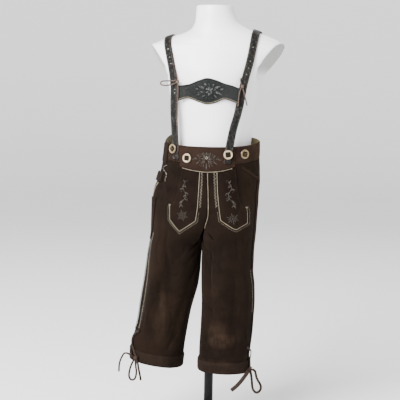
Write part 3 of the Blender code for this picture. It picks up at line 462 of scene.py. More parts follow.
def turned(node, kind, profile, centre, up, finish, steps=48, values=None):
    """Profile rows (radius, height) turned about the axis `up`, closed by its two end rings."""
    axis = unit(np.asarray(up, float))
    side = unit(np.cross(axis, (0.31, 0.17, 0.93) if abs(axis[2]) < 0.9 else (0, 1, 0)))
    rim = around(circle(steps), side, np.cross(axis, side))
    profile = np.asarray(profile, float)
    rings = np.asarray(centre) + profile[:, 0, None, None] * rim + profile[:, 1, None, None] * axis
    return loft(f"{node}_{kind}", rings, finish, node, values=values)


def along_frames(line, normal):
    """Unit directions along a line of points, across it and up from it, near the given normals."""
    along = unit(np.gradient(line, axis=0))
    across = unit(np.cross(along, normal))
    return along, across, np.cross(across, along)


def read_line(line, run, at):
    """Points of a polyline at lengths `at` along it, run being the lengths of its own points."""
    return joined(*(np.interp(at, run, column) for column in line.T))


def resample(line, count):
    """Points at equal spacing along a polyline."""
    line = np.asarray(line, float)
    run = run_along(line)
    return read_line(line, run, np.linspace(0, run[-1], count))


def smooth_route(points, spacing):
    """Even points along a smooth curve (Catmull-Rom) through the route's own points."""
    points = np.asarray(points, float)
    padded = np.concatenate([2 * points[:1] - points[1:2], points, 2 * points[-1:] - points[-2:-1]])
    t = np.linspace(0, 1, 12, endpoint=False)[:, None]
    a, b, c, d = (padded[k:len(points) - 1 + k][:, None] for k in range(4))
    pieces = 0.5 * (2 * b + (c - a) * t + (2 * a - 5 * b + 4 * c - d) * t ** 2
                    + (3 * b - a - 3 * c + d) * t ** 3)
    line = np.concatenate([pieces.reshape(-1, points.shape[1]), points[-1:]])
    return resample(line, max(5, int(round(length_of(line) / spacing)) + 1))


def tube(name, line, normal, radius, finish, node=None, sides=8, flat=1.0, taper=0.0):
    """Tube along a line; flat thins it along the normal, taper narrows its two ends."""
    along, across, up = along_frames(line, normal)
    turn = circle(sides, 0.5)
    share = np.linspace(0, 1, len(line))
    size = radius * (1 - taper * np.clip(np.abs(2 * share - 1) * 8 - 7, 0, 1) ** 2)
    rings = line[:, None] + size[:, None, None] * around(turn, across, flat * up)
    uv = joined(np.cos(turn) * 0.5 + 0.5, run_along(line)[:, None] * MM)
    return loft(name, rings, finish, node, uv=uv)


def threads(name, start, end, up, finish, radius, rise):
    """Stitches of thread from start to end points: each a short bar that arches off the cloth.

    Ring t of a bar sits at start + t (end - start), raised by rise times 4 t (1 - t).
    """
    start, end, up = (np.asarray(v, float) for v in (start, end, up))
    along = unit(end - start)
    across = unit(np.cross(along, up))
    high = np.cross(across, along)
    share = np.array([0.0, 0.14, 0.5, 0.86, 1.0])
    size = np.array([0.45, 1.0, 1.0, 1.0, 0.45]) * radius
    middle = (start[:, None] + (end - start)[:, None] * share[:, None]
              + high[:, None] * (rise * 4 * share * (1 - share))[:, None])
    ring = around(circle(6, 0.5), across, high)
    rings = middle[:, :, None] + size[:, None, None] * ring[:, None]
    return many(name, rings, finish)


# ---------------- shader expressions
class Value:
    """A socket of a finish's node tree; arithmetic on values adds the Math nodes it needs."""

    def __init__(self, tree, socket):
        self.tree = tree
        self.socket = socket

    def node(self, kind, settings=(), out=0, **inputs):
        """Add any node: its settings first, then the numbers, colours or links of its sockets.

        A socket is named with underscores for spaces; in_0, in_1 and so on pick it by place.
        """
        made = self.tree.nodes.new(kind)
        for key, value in dict(settings).items():
            setattr(made, key, value)
        for key, value in inputs.items():
            name = key.replace("_", " ")
            socket = made.inputs[int(key[3:])] if key.startswith("in_") else made.inputs[name]
            if isinstance(value, Value):
                self.tree.links.new(value.socket, socket)
            else:
                socket.default_value = value
        return Value(self.tree, made.outputs[out])

    def math(self, operation, *others):
        inputs = {f"in_{k}": value for k, value in enumerate((self, *others))}
        return self.node("ShaderNodeMath", {"operation": operation}, **inputs)

    def __add__(self, other):
        return self.math("ADD", other)

    def __mul__(self, other):
        return self.math("MULTIPLY", other)

    def __sub__(self, other):
        return self.math("SUBTRACT", other)

    def __truediv__(self, other):
        return self.math("DIVIDE", other)

    def between(self, low, high):
        """0 at low, 1 at high, eased in between; high may be the smaller."""
        return self.node("ShaderNodeMapRange", {"interpolation_type": "SMOOTHSTEP"},
                         Value=self, From_Min=low, From_Max=high)

    def part(self, name):
        """X, Y or Z of a vector."""
        return self.node("ShaderNodeSeparateXYZ", out=name, Vector=self)

    def scaled(self, x, y, z):
        return self.node("ShaderNodeVectorMath", {"operation": "MULTIPLY"}, in_0=self, in_1=(x, y, z))

    def noise(self, scale, detail, rough=0.55, warp=0.0):
        return self.node("ShaderNodeTexNoise", Vector=self, Scale=scale, Detail=detail,
                         Roughness=rough, Distortion=warp)

    def mix(self, low, high):
        """Colour from low to high by this factor; each is a colour or a value."""
        low, high = (c if isinstance(c, Value) else (*c, 1.0) for c in (low, high))
        return self.node("ShaderNodeMix", {"data_type": "RGBA"}, out=2, Factor=self, in_6=low, in_7=high)

    def shade(self, low, high, colour, dark, light):
        """A colour, dark where this is low and light where it is high."""
        return self.between(low, high).mix(grown(colour, dark), grown(colour, light))

    def times(self, colour):
        """This colour multiplied by another."""
        return self.node("ShaderNodeMix", {"data_type": "RGBA", "blend_type": "MULTIPLY"}, out=2,
                         Factor=1.0, in_6=self, in_7=(*colour, 1.0))


class Finish:
    """A named material: its coordinates, its shader and its bump."""

    def __init__(self, name, **constants):
        self.made = bpy.data.materials.new(name)
        self.made.use_nodes = True
        self.tree = self.made.node_tree
        self.shader = self.tree.nodes["Principled BSDF"]
        for key, value in constants.items():
            self.shader.inputs[key.replace("_", " ")].default_value = value
        start = Value(self.tree, None)
        self.place = start.node("ShaderNodeTexCoord", out="Object")
        self.uv = start.node("ShaderNodeTexCoord", out="UV")

    def attribute(self, name):
        """A number kept on the piece's points."""
        return self.place.node("ShaderNodeAttribute", {"attribute_name": name}, out="Fac")

    def grain(self):
        """Fine cells of grained leather: how far it is to the nearest edge of one."""
        return self.place.node("ShaderNodeTexVoronoi", {"feature": "DISTANCE_TO_EDGE"},
                               Vector=self.place, Scale=850.0).between(0.0, 0.12)

    def material(self, height=None, distance=0.0, strength=1.0, **links):
        """The material, its surface raised by height times distance, in metres."""
        if height:
            links["Normal"] = height.node("ShaderNodeBump", Height=height, Distance=distance,
                                          Strength=strength)
        for key, value in links.items():
            self.tree.links.new(value.socket, self.shader.inputs[key.replace("_", " ")])
        return self.made


def grown(colour, factor):
    """A colour made lighter or darker by a factor."""
    return tuple(min(1.0, c * factor) for c in colour[:3])


def near(place, middle, reach):
    """1 at a middle, fading to 0 over the reach in each direction, as a rounded bell."""
    x, y, z = ((place.part(axis) - MM * at) / (MM * size) for axis, at, size in zip("XYZ", middle, reach))
    return (x * x + y * y + z * z).between(1.0, 0.0)


# Worn, lighter places of the suede: middle and reach, each in x, y and z, and how strong.
WEAR = (
    (38, -60, 224, 40, 40, 24, 1), (30, -60, 246, 34, 40, 30, 0.45),
    (-100, -60, 295, 10, 40, 75, 0.6), (-108, -60, 245, 18, 40, 55, 0.3),
    (-85, -60, 205, 26, 40, 20, 0.2), (-62, -60, 270, 24, 50, 80, 0.3),
    (20, -60, 170, 60, 60, 10, 0.35), (30, 80, 500, 60, 50, 60, 0.45),
    (-50, 80, 500, 60, 50, 60, 0.45), (36, 60, 230, 35, 40, 30, 0.35),
    (-110, 60, 240, 30, 40, 40, 0.35),
)


def suede_finish(name, colour, worn, warm):
    """Napped suede: cloudy brown, brushed streaks, rubbed pale places and a fine soft nap, with painted
    light on the wearer's left hip and painted shade in deep creases.
    """
    f = Finish(name, Roughness=0.95, Specular_IOR_Level=0.035, Sheen_Weight=0.03,
               Sheen_Roughness=0.5, Sheen_Tint=(0.66, 0.48, 0.34, 1.0))
    clouds = f.place.noise(14.0, 5.0, 0.62, 0.4)
    patches = f.place.noise(46.0, 4.0, 0.6)
    brushed = f.place.scaled(1.0, 1.0, 0.22).noise(120.0, 4.0, 0.65, 0.6)
    nap = f.place.noise(900.0, 3.0, 0.7)
    tone = clouds.between(0.34, 0.68) * 0.55 + patches.between(0.3, 0.72) * 0.45
    base = tone.mix(grown(colour, 0.62), grown(colour, 1.28))
    base = (f.place.noise(7.0, 3.0, 0.5).between(0.42, 0.66) * 0.55).mix(base, warm)
    rubbed = reduce(lambda one, two: one.math("MAXIMUM", two),
                    (near(f.place, row[:3], row[3:6]) * row[6] for row in WEAR))
    rubbed = rubbed * (brushed.between(0.30, 0.70) * 0.35 + patches.between(0.32, 0.66) * 0.45 + 0.25)
    streak = brushed.between(0.60, 0.80) * clouds.between(0.45, 0.65) * 0.28
    base = rubbed.math("MAXIMUM", streak).mix(base, worn)
    base = nap.between(0.3, 0.75).mix(base, base.times((1.35, 1.32, 1.30)))
    # painted light lightens the wearer's left hip all over; painted shade darkens the deep creases
    hip = f.place.part("X").between(0.060, 0.108) * f.place.part("Z").between(0.40, 0.50)
    base = hip.mix(base, base.times((1.9, 1.95, 1.8)))
    return f.material(nap * 0.5 + f.place.noise(260.0, 3.0, 0.6) * 0.8 + patches * 1.6, 0.0009, 0.7,
                      Base_Color=f.attribute("crease_shade").mix(base, grown(colour, 0.12)))


def piping_finish(name, colour):
    """Narrow cream leather: darker where it is handled, with small sewn dents."""
    f = Finish(name, Roughness=0.6, Specular_IOR_Level=0.35)
    blotches = f.place.noise(150.0, 4.0, 0.6)
    fine = f.place.noise(600.0, 2.0, 0.6)
    base = blotches.shade(0.35, 0.70, colour, 0.55, 1.12)
    base = (fine.between(0.55, 0.8) * 0.5).mix(base, grown(colour, 0.45))
    return f.material(fine + blotches, 0.0004, 0.6, Base_Color=base)


def strap_finish(name, colour, brown, edge):
    """Smooth grained strap leather, browner over the shoulders and at its lower ends, with painted
    highlights along its creased borders.

    u runs across the strap, and its two cut edges are raw.
    """
    f = Finish(name, Specular_IOR_Level=0.11)
    high = f.place.part("Z")
    across = f.uv.part("X")
    rim = (across - 0.5).math("ABSOLUTE")
    ragged = f.place.noise(420.0, 3.0, 0.6)
    raw = (rim + ragged * 0.05).between(0.475, 0.515)
    clouds = f.place.noise(30.0, 5.0, 0.6, 0.5)
    body = clouds.shade(0.32, 0.70, colour, 0.4, 1.2)
    tan = clouds.shade(0.32, 0.70, brown, 0.4, 1.1)
    body = high.between(0.79, 0.83).math("MAXIMUM", high.between(0.662, 0.640)).mix(body, tan)
    speck = f.place.noise(250.0, 3.0, 0.75)
    # painted highlight: broken light lines along the creased borders stand for highlights on their raised
    # ridges; the loose specks are the leather's own
    highlit_border = (rim - 0.36).math("ABSOLUTE").between(0.07, 0.0)
    light = speck.between(0.53, 0.62) * 0.6 + highlit_border * speck.between(0.38, 0.54) * 0.7
    body = light.math("MINIMUM", 1.0).mix(body, grown(brown, 13.0))
    body = speck.between(0.47, 0.36).mix(body, grown(colour, 0.12))
    return f.material(f.grain() * 0.7 + ragged * 0.6 + clouds * 0.8, 0.0004, 0.7,
                      Base_Color=raw.mix(body, edge), Roughness=raw * 0.3 + clouds * 0.25 + 0.32)


def horn_finish(name, colour, rim):
    """Polished horn: cream, in faint rings, browner towards the worn rim and in its pores."""
    f = Finish(name, Roughness=0.32, Specular_IOR_Level=0.5, Coat_Weight=0.3, Coat_Roughness=0.2)
    edge = f.attribute("edge")
    cloud = f.place.noise(120.0, 4.0, 0.6, 1.5)
    pores = f.place.noise(700.0, 2.0, 0.5)
    base = cloud.shade(0.3, 0.7, colour, 0.78, 1.1)
    base = (edge + cloud * 0.5 - 0.25).between(0.35, 0.95).mix(base, rim)
    base = (pores.between(0.62, 0.75) * 0.4).mix(base, rim)
    return f.material(cloud * 0.5 + pores * 0.3, 0.0003, 0.5, Base_Color=base)


def thong_finish(name, colour, worn):
    """Thin leather lace: brown, paler on its cut edges and where it has been pulled."""
    f = Finish(name, Roughness=0.62, Specular_IOR_Level=0.12)
    rim = (f.uv.part("X") - 0.5).math("ABSOLUTE")
    rub = f.place.noise(210.0, 4.0, 0.65)
    base = rub.shade(0.3, 0.7, colour, 0.6, 1.3)
    base = (rim.between(0.36, 0.5) * 0.7 * rub.between(0.3, 0.6)).mix(base, worn)
    return f.material(rub + f.place.noise(900.0, 2.0) * 0.4, 0.0004, 0.6, Base_Color=base)


def speckled_finish(name, colour, dark):
    """Lace that is light only here and there, between dark stretches."""
    f = Finish(name, Roughness=0.7, Specular_IOR_Level=0.2)
    blotches = f.place.noise(260.0, 2.0, 0.5)
    return f.material(blotches, 0.0004, 0.5, Base_Color=blotches.between(0.48, 0.56).mix(dark, colour))


def thread_finish(name, colour, shade):
    """Twisted sewing thread, a little uneven in colour from stitch to stitch."""
    f = Finish(name, Roughness=0.7, Sheen_Weight=0.04, Specular_IOR_Level=0.15)
    uneven = f.place.noise(260.0, 2.0, 0.6)
    return f.material(f.place.noise(2600.0, 1.0), 0.0002, 0.5,
                      Base_Color=uneven.between(0.3, 0.7).mix(shade, colour))


def shell_finish(name, colour):
    """Moulded white plastic with a soft gloss and a very faint waviness."""
    f = Finish(name, Specular_IOR_Level=0.5, Coat_Weight=0.15, Coat_Roughness=0.25)
    cloud = f.place.noise(9.0, 3.0, 0.5)
    speck = f.place.noise(240.0, 3.0, 0.6)
    return f.material(cloud * 0.6 + speck * 0.05, 0.0008, 0.35,
                      Base_Color=cloud.shade(0.3, 0.7, colour, 0.975, 1.0), Roughness=speck * 0.12 + 0.30)


def arm_cut_shade_finish(name, colour, pale):
    """Matt grey face that closes an arm hole: the grey is painted shade on the cut face, and it pales
    towards the arm pit, where it fades into the white shell.
    """
    f = Finish(name, Roughness=0.8, Specular_IOR_Level=0.25)
    cloud = f.place.noise(30.0, 4.0, 0.6)
    base = cloud.shade(0.3, 0.7, colour, 0.94, 1.0)
    pit = (f.place.part("Z") + cloud * 0.01).between(0.856, 0.818)
    return f.material(f.place.noise(500.0, 2.0, 0.6), 0.0002, 0.4, Base_Color=pit.mix(base, pale))


def inlay_finish(name, colour):
    """Dark matt leather let into a button, a little cloudy."""
    f = Finish(name, Roughness=0.8, Specular_IOR_Level=0.08)
    cloud = f.place.noise(300.0, 3.0, 0.6)
    return f.material(cloud, 0.0003, 0.5, Base_Color=cloud.shade(0.3, 0.7, colour, 0.6, 1.5))


def metal_finish(name, colour):
    """Powder coated steel: near black, an even satin with a fine orange peel."""
    f = Finish(name, Specular_IOR_Level=0.12)
    peel = f.place.noise(700.0, 2.0, 0.5)
    dust = f.place.noise(40.0, 5.0, 0.65)
    return f.material(peel, 0.0002, 0.4,
                      Base_Color=dust.shade(0.4, 0.75, colour, 1.0, 1.6), Roughness=dust * 0.25 + 0.35)


def eyelet_finish(name, colour):
    """Nickel plate, bright with dull patches."""
    f = Finish(name, Metallic=1.0)
    dull = f.place.noise(500.0, 3.0, 0.6)
    return f.material(Base_Color=dull.shade(0.3, 0.7, colour, 0.7, 1.0), Roughness=dull * 0.3 + 0.2)


def chest_finish(name, colour, edge):
    """Grained plate leather whose raised relief is paler, partly rubbed and partly painted highlight, with
    painted highlight specks; cut edges are raw.
    """
    f = Finish(name, Specular_IOR_Level=0.09)
    raised = f.attribute("relief")
    clouds = f.place.noise(34.0, 5.0, 0.6, 0.5)
    fine = f.place.noise(420.0, 4.0, 0.65)
    body = clouds.shade(0.32, 0.70, colour, 0.6, 1.35)
    # the raised relief is paler, partly from rubbing and partly as painted highlight
    rubbed = raised.between(0.45, 1.0) * fine.between(0.46, 0.58)
    body = rubbed.mix(body, (0.135, 0.14, 0.135))
    # painted highlights: light specks over the whole strap
    body = (fine.between(0.56, 0.68) * 0.6).mix(body, grown(colour, 9.0))
    raw = f.uv.part("X").between(0.7, 0.9)
    return f.material(f.grain() * 0.5 + fine * 0.5 + clouds * 0.6, 0.0004, 0.6,
                      Base_Color=raw.mix(body, edge), Roughness=clouds * 0.25 + fine * 0.15 + 0.20)


# ---------------- fine creases of the suede
ARC = 1.05                   # millimetres round the leg for one degree
# Short creases (minus) and ridges (plus) on the skin: angle and row of both ends, how far the
# line is bowed sideways, its width and its depth.
CREASES = {
    "right": ((-125, 491, -152, 440, 2, 3.2, -8.0), (-64, 500, -98, 350, 4, 4.0, -1.9),
        (-174, 474, -132, 426, 4, 3.6, -3.2), (-166, 478, -138, 446, -3, 5.0, 1.8),
        (-168, 446, -118, 392, 6, 4.5, -2.0), (-170, 430, -140, 350, 5, 5.0, -2.2),
        (-126, 446, -96, 400, 8, 5.5, -1.6), (-66, 470, -74, 392, -7, 5.0, -1.5),
        (-112, 372, -74, 352, 5, 4.5, -1.3), (-150, 338, -108, 318, 6, 4.2, -1.6),
        (-98, 330, -52, 310, -5, 4.5, -1.5), (-128, 312, -84, 296, 4, 3.8, 1.2),
        (-92, 300, -96, 226, 5, 3.6, -1.4), (-78, 318, -70, 244, -4, 3.4, -1.2),
        (-106, 290, -112, 238, 4, 3.2, 1.3), (-56, 282, -46, 212, 4, 4.0, -1.3),
        (-134, 262, -92, 246, 4, 3.8, -1.1), (-146, 236, -120, 196, -4, 4.2, -1.4),
        (-104, 224, -60, 210, 3, 3.6, -1.0), (-30, 590, -48, 520, 6, 5.0, -1.3),
        (-38, 520, -60, 462, 5, 5.5, -1.4), (-76, 560, -84, 500, 3, 4.0, -0.8),
        (172, 468, 126, 432, 6, 4.5, -2.8), (160, 446, 96, 428, 9, 5.5, -2.2),
        (168, 432, 130, 360, -6, 5.0, -2.0), (120, 470, 74, 448, 6, 5.5, -1.6),
        (140, 330, 84, 316, 6, 4.8, -2.0), (128, 306, 76, 298, -5, 4.6, -1.7),
        (112, 286, 66, 274, 4, 4.4, -1.4), (96, 420, 92, 350, 5, 5.0, -1.4),
        (60, 380, 52, 300, -5, 4.6, -1.3), (146, 262, 128, 196, 5, 4.4, -1.4),
        (96, 236, 84, 190, 4, 4.2, -1.2), (70, 600, 96, 560, 4, 5.0, -1.1)),
    "left": ((-119, 475, -106, 457, 2, 2.8, -4.5), (-116, 462, -126, 318, -3, 4.0, -1.9),
        (-172, 470, -140, 444, -3, 3.2, -2.8), (-166, 460, -120, 414, -5, 4.4, -1.9),
        (-172, 438, -146, 364, -5, 5.0, -2.0), (-134, 440, -106, 392, -6, 5.0, -1.5),
        (-84, 452, -92, 384, 6, 5.0, -1.3), (-60, 470, -50, 400, 5, 5.0, -1.4),
        (-120, 352, -78, 336, 4, 4.2, -1.4), (-92, 330, -48, 318, -4, 4.0, -1.3),
        (-150, 322, -112, 300, 5, 4.2, -1.4), (-108, 306, -70, 292, 3, 3.6, 1.1),
        (-124, 282, -128, 214, -4, 3.8, -1.3), (-84, 286, -90, 208, 4, 3.8, -1.2),
        (-66, 262, -58, 190, -4, 4.0, -1.3), (-104, 232, -72, 220, 3, 3.4, 1.0),
        (-140, 214, -104, 200, 3, 3.8, -1.1), (-42, 560, -58, 486, 5, 5.0, -1.3),
        (-30, 470, -46, 400, 4, 5.0, -1.2), (172, 466, 128, 434, -6, 4.5, -2.8),
        (160, 448, 98, 424, -9, 5.5, -2.2), (168, 430, 136, 356, 6, 5.0, -2.0),
        (116, 474, 72, 446, -5, 5.5, -1.6), (142, 322, 88, 312, 5, 4.8, -2.0),
        (124, 300, 78, 288, -5, 4.6, -1.7), (108, 276, 62, 268, 4, 4.4, -1.3),
        (90, 410, 96, 340, -5, 5.0, -1.4), (54, 372, 60, 292, 5, 4.6, -1.2),
        (140, 250, 124, 186, -5, 4.4, -1.4), (88, 226, 98, 178, -4, 4.2, -1.2),
        (66, 604, 92, 560, -4, 5.0, -1.1)),
}


def creases(side, angle, z):
    """Sum of the fine creases, each a bell across the line from a to b.

    The line is bowed by 4 t (1 - t), and the bell fades as (4 t (1 - t)) ^ 0.6 along t.
    """
    angle, z = np.broadcast_arrays(angle, z)
    angle_a, z_a, angle_b, z_b, bow, width, depth = np.array(CREASES[side], dtype=float).T
    run_x = (angle_b - angle_a) * ARC
    run_z = z_b - z_a
    length = np.hypot(run_x, run_z)
    x = (angle[..., None] - angle_a) * ARC
    y = z[..., None] - z_a
    t = np.clip((x * run_x + y * run_z) / length ** 2, 0, 1)
    hump = 4 * t * (1 - t)
    across = (x * run_z - y * run_x) / length - bow * hump
    return np.sum(depth * hump ** 0.6 * bell(across, width), axis=-1)


def crease_height(side, angle, z):
    """The fine creases and a slow rumple: two products of sines under half a millimetre."""
    rumple = 0.35 * np.sin(angle / 11.0 + z / 37.0) * np.sin(z / 23.0 - angle / 29.0)
    rumple += 0.22 * np.sin(angle / 5.3 - z / 31.0) * np.sin(z / 13.0 + 1.3)
    calm = np.clip((WAIST_SEAM - 6.0 - z) / 40.0, 0, 1)
    return (creases(side, angle, z) + rumple) * calm


# ---------------- breeches
def row_places(side, count):
    """Row heights from the waist seam to the hem."""
    return np.linspace(WAIST_SEAM - GAP / 2, HEM[side], count)


def slit_inset(side, z):
    """Half the gap at the outer seam, in degrees: a seam above, gaping below the slit's top."""
    open_share = np.clip((SLIT_TOP - z) / (SLIT_TOP - HEM[side]), 0, 1)
    width = GAP / 2 + (SLIT_GAPE - GAP / 2) * open_share ** 0.8
    return np.degrees(width / leg_section(side, z)[1])


def panel_angles(side, face, z, count):
    """Angles of a panel's columns on each row, from its centre or inside seam to its side."""
    inset = slit_inset(side, z)
    far = seam_angle(side, z)
    seam = side_seam(side, z)
    start, end = (-far, seam - inset) if face == "front" else (seam + inset, far)
    return start[:, None] + (end - start)[:, None] * np.linspace(0, 1, count)


SEAM_DIP = 1.1               # the panels' edges turn in at the seams
SEAM_DIP_WIDTH = 2.2


def edge_dip(side, angle, z):
    """How far a panel's two long edges turn in: a bell over the distance to the nearer edge."""
    half = leg_section(side, z)[1][:, None]
    away = np.minimum(np.abs(angle - angle[:, :1]), np.abs(angle - angle[:, -1:]))
    return SEAM_DIP * bell(np.radians(away) * half, SEAM_DIP_WIDTH)


def panel(side, face, finish):
    """A leg panel with its creases: the skin at each row and angle, less its turned-in edges."""
    z = row_places(side, 190)
    angle = panel_angles(side, face, z, 100)
    dip = edge_dip(side, angle, z)
    outer = skin(side, angle, z[:, None], -dip)
    inner = skin(side, angle, z[:, None], -SUEDE - dip * 0.6)
    # painted shade: how deep each crease is, to darken the suede in it
    crease_shade = np.clip(-creases(side, angle, z[:, None]) - 1.4, 0, 2.4) / 2.4
    piece = wall(f"{face}_{side}", "suede", outer, inner, finish, values={"crease_shade": crease_shade})


def band_row(side, angle, z):
    """Row heights of the waistband, raised towards its top behind the right hip."""
    rise, middle, width = WAIST_PEAK
    share = np.clip((z - WAIST_PEAK_FOOT) / (WAIST_TOP - WAIST_PEAK_FOOT), 0, 1)
    return z + (side == "right") * rise * share * bell(angle - middle, width)


def waist_half(side, finishes):
    """Waistband half: the skin, its upper edge rolled over and a stitched dip near both edges."""
    z = np.concatenate([WAIST_TOP - np.array([0, 0.5, 1.2, 2.2]),
                        np.linspace(WAIST_TOP - 4.0, WAIST_SEAM + 2.5, 22),
                        WAIST_SEAM + np.array([1.2, 0.5, GAP / 2])])
    far = seam_angle(side, z)
    angle = far[:, None] * np.linspace(-1, 1, 190)
    from_top = (WAIST_TOP - z)[:, None]
    from_seam = (z - WAIST_SEAM)[:, None]
    roll = 0.9 * bell(from_top, 1.0) + 0.8 * bell(from_seam, 1.1)
    sewn = 0.5 * bell(from_top - WAIST_SEAMS[0], 1.0) + 0.4 * bell(from_seam - WAIST_SEAMS[1], 1.0)
    wave = 0.5 * np.sin(angle / 9.0 + z[:, None] / 17.0) + 0.3 * np.sin(angle / 3.7)
    lift = (wave - 0.2) * np.clip(from_seam / 12, 0, 1) - roll - sewn
    row = band_row(side, angle, z[:, None])
    outer = skin(side, angle, row, lift)
    inner = skin(side, angle, row, lift * 0.4 - BAND_WALL)
    wall("waistband_" + side, "suede", outer, inner, finishes, lined=True)


def hem_half(side, finish):
    """Hem band: a second thickness round the leg, from the slit's back edge to its front one."""
    z = HEM[side] + np.array([HEM_BAND, HEM_BAND - 0.4, HEM_BAND - 1.2, HEM_BAND - 2.6, 21, 17, 13,
                              9, 6, 3.6, 2.0, 0.9, 0.2])
    front = panel_angles(side, "front", z, 110)
    back = panel_angles(side, "back", z, 110)
    inseam = 180.0 + 0 * z[:, None]
    angle = np.concatenate([back[:, :-1], inseam, front[:, 1:]], axis=1)
    down = (HEM[side] + HEM_BAND - z)[:, None]
    up = (z - HEM[side])[:, None]
    roll = 0.8 * bell(down, 0.9) + 0.7 * bell(up, 1.0)
    sewn = 0.45 * bell(down - HEM_SEAM, 0.8)
    wave = 0.35 * np.sin(angle / 7.0 + 0.6) + 0.2 * np.sin(angle / 3.1)
    lift = LIFT["hem_band"]
    outer = skin(side, angle, z[:, None], lift + APPLIQUE + wave - roll - sewn)
    inner = skin(side, angle, z[:, None], lift - 0.3)
    wall("hem_band_" + side, "suede", outer, inner, finish)


# ---------------- drop front and leaves
def rounded(away, reach):
    """0 at an edge, 1 from `reach` inwards, a quarter circle between."""
    t = np.clip(away / reach, 0, 1)
    return np.sqrt(1 - (1 - t) ** 2)


def flap_front(finish):
    """Drop front's band: the skin seen from the front, moved out, with rounded sewn edges."""
    share = np.concatenate([[0, 0.01, 0.03], np.linspace(0.06, 0.94, 36), [0.97, 0.99, 1.0]])[:, None]
    x = np.linspace(FLAP_EDGE["right"], FLAP_EDGE["left"], 120)
    low = flap_low(x)
    z = FLAP_TOP + (low - FLAP_TOP) * share
    x = np.broadcast_to(x, z.shape)
    away = np.minimum(np.minimum(x - x.min(), x.max() - x), (FLAP_TOP - low) * np.minimum(share, 1 - share))
    lift = LIFT["flap_band"]
    ridge = APPLIQUE * (0.35 + 0.65 * rounded(away, 1.6)) - 0.35 * bell(away - 3.0, 0.8)
    wall("flap_band", "suede", face_on(x, z, lift + ridge), face_on(x, z, lift), finish)


def leaf_grid(side, rows, cols):
    """Leaf points: straight across between the long edges, the point fading upwards."""
    edges = LEAVES[side]
    top, end = edges["z"][-1], edges["z"][0]
    share = np.linspace(0, 1, rows)[:, None]
    z = top + (end - top) * share
    inner, outer = (np.interp(z, edges["z"], edges[name]) for name in ("inner", "outer"))
    u = np.linspace(0, 1, cols)[None, :]
    x = inner + (outer - inner) * u
    peak, drop, outer_drop = LEAF_POINT[side]
    point = np.interp(u, (0, peak, 1), (0, drop, outer_drop))
    above = flap_low(x) - LEAF_BELOW - top
    return x, z - point * share ** 2.5 + above * (1 - share) ** 3


def leaf(side, finish):
    """Leaf laid on the front: edges rounded over, a sewn groove inside them, a soft swell."""
    x, z = leaf_grid(side, 110, 64)
    edge = np.minimum(np.abs(x - x[:, :1]), np.abs(x - x[:, -1:]))
    away = np.minimum(edge, np.minimum(np.abs(z - z[-1:]) * 0.9, np.abs(z[:1] - z) + 1.6))
    lift = LIFT["leaf"]
    ridge = APPLIQUE * (0.3 + 0.7 * rounded(away, 1.5)) - 0.45 * bell(away - 3.0, 0.8)
    swell = 0.5 * np.clip(away / 14.0, 0, 1)
    wall("leaf_" + side, "suede", face_on(x, z, lift + ridge + swell), face_on(x, z, lift - 0.2),
         finish)


PIPING_RADIUS = 0.65
PIPING_OUT = 1.6             # from a leaf's edge to the middle of its piping
PIPING_BELOW = 1.8           # from the drop front's lower edge to the middle of its piping
PIPING_IN = 6.5              # its ends stop short of the drop front's sides
PIPING_LIFT = PIPING_RADIUS + LIFT["piping"]
CENTRE_PIPING = (609.5, 484.0)
CENTRE_PIPING_OUT = 1.2


def moved_out(line, distance):
    """A flat line moved to its right by a distance, its corners mitred."""
    right = unit(np.diff(line, axis=0))[:, ::-1] * (1.0, -1.0)
    before = np.concatenate([right[:1], right])
    after = np.concatenate([right, right[-1:]])
    middle = unit(before + after)
    spread = np.sum(middle * before, axis=1, keepdims=True)
    return line + middle * distance / np.maximum(spread, 0.5)


def sew_piping(node, line, finish):
    """Piping along a flat line: a round cord."""
    line = resample(line, max(8, int(length_of(line) / 1.2)))
    middle = face_on(*line.T, PIPING_LIFT)
    out = unit(face_on(*line.T, PIPING_LIFT + 1.0) - middle)
    tube(node + "_leather", middle, out, PIPING_RADIUS, finish, node)


def leaf_edge(side):
    """Flat line down a leaf's inner edge, round its point and up to its outer corner."""
    x, z = leaf_grid(side, 12, 9)
    return np.concatenate([
        joined(x[:, 0], z[:, 0]),
        joined(x[-1, 1:-1], z[-1, 1:-1]),
        joined(x[:, -1], z[:, -1])[:-5:-1]])


def front_pipings(finish):
    x = np.linspace(FLAP_EDGE["right"] + PIPING_IN, FLAP_EDGE["left"] - PIPING_IN, 40)
    z = flap_low(x) - PIPING_BELOW
    sew_piping("piping_flap", np.c_[x, z], finish)
    for side, hand in SIDES.items():
        sew_piping("piping_leaf_" + side, moved_out(leaf_edge(side), hand * PIPING_OUT), finish)
    z = np.linspace(*CENTRE_PIPING, 40)
    x = section("inner_left", z) + CENTRE_PIPING_OUT
    sew_piping("piping_centre", np.c_[x, z], finish)


# ---------------- side seams and pockets
# Raised strips beside the outer seams: side, top, lower end, how far in front of the seam at
# the top and at the end in degrees, and slot.
WELTS = {"side_welt_left": ("left", 606.0, 226.0, 0.0, 0.0, "suede"),
         "side_welt_right": ("right", 443.0, 226.0, 0.0, 0.0, "suede"),
         "side_welt_right_top": ("right", 582.0, 551.0, 14.0, 6.0, "piping")}
WELT_HALF = 1.8
WELT_WALL = 1.2
# Upper and lower end, and angles of the front and back edge.
KNIFE_POCKET = (547.0, 447.0)
KNIFE_POINT = (-23.0, -22.0)         # it narrows to these angles
KNIFE_WIDEN = (-9.0, 12.0)           # and widens by these above the point
KNIFE_TAPER = 20.0
POCKET_FLAP = (606.0, 585.0)
POCKET_FLAP_EDGES = (-34.0, -5.0)
HIP_TAB = (676.0, 633.0)
HIP_TAB_EDGES = (-35.0, -17.0)
PATCH_WALL = 2.0
POCKET_FLAP_WALL = 4.2
WELT_TIP_OUT = 4.0
WELT_ENDS = ((-46.0, 628.0), (-14.0, 596.0))


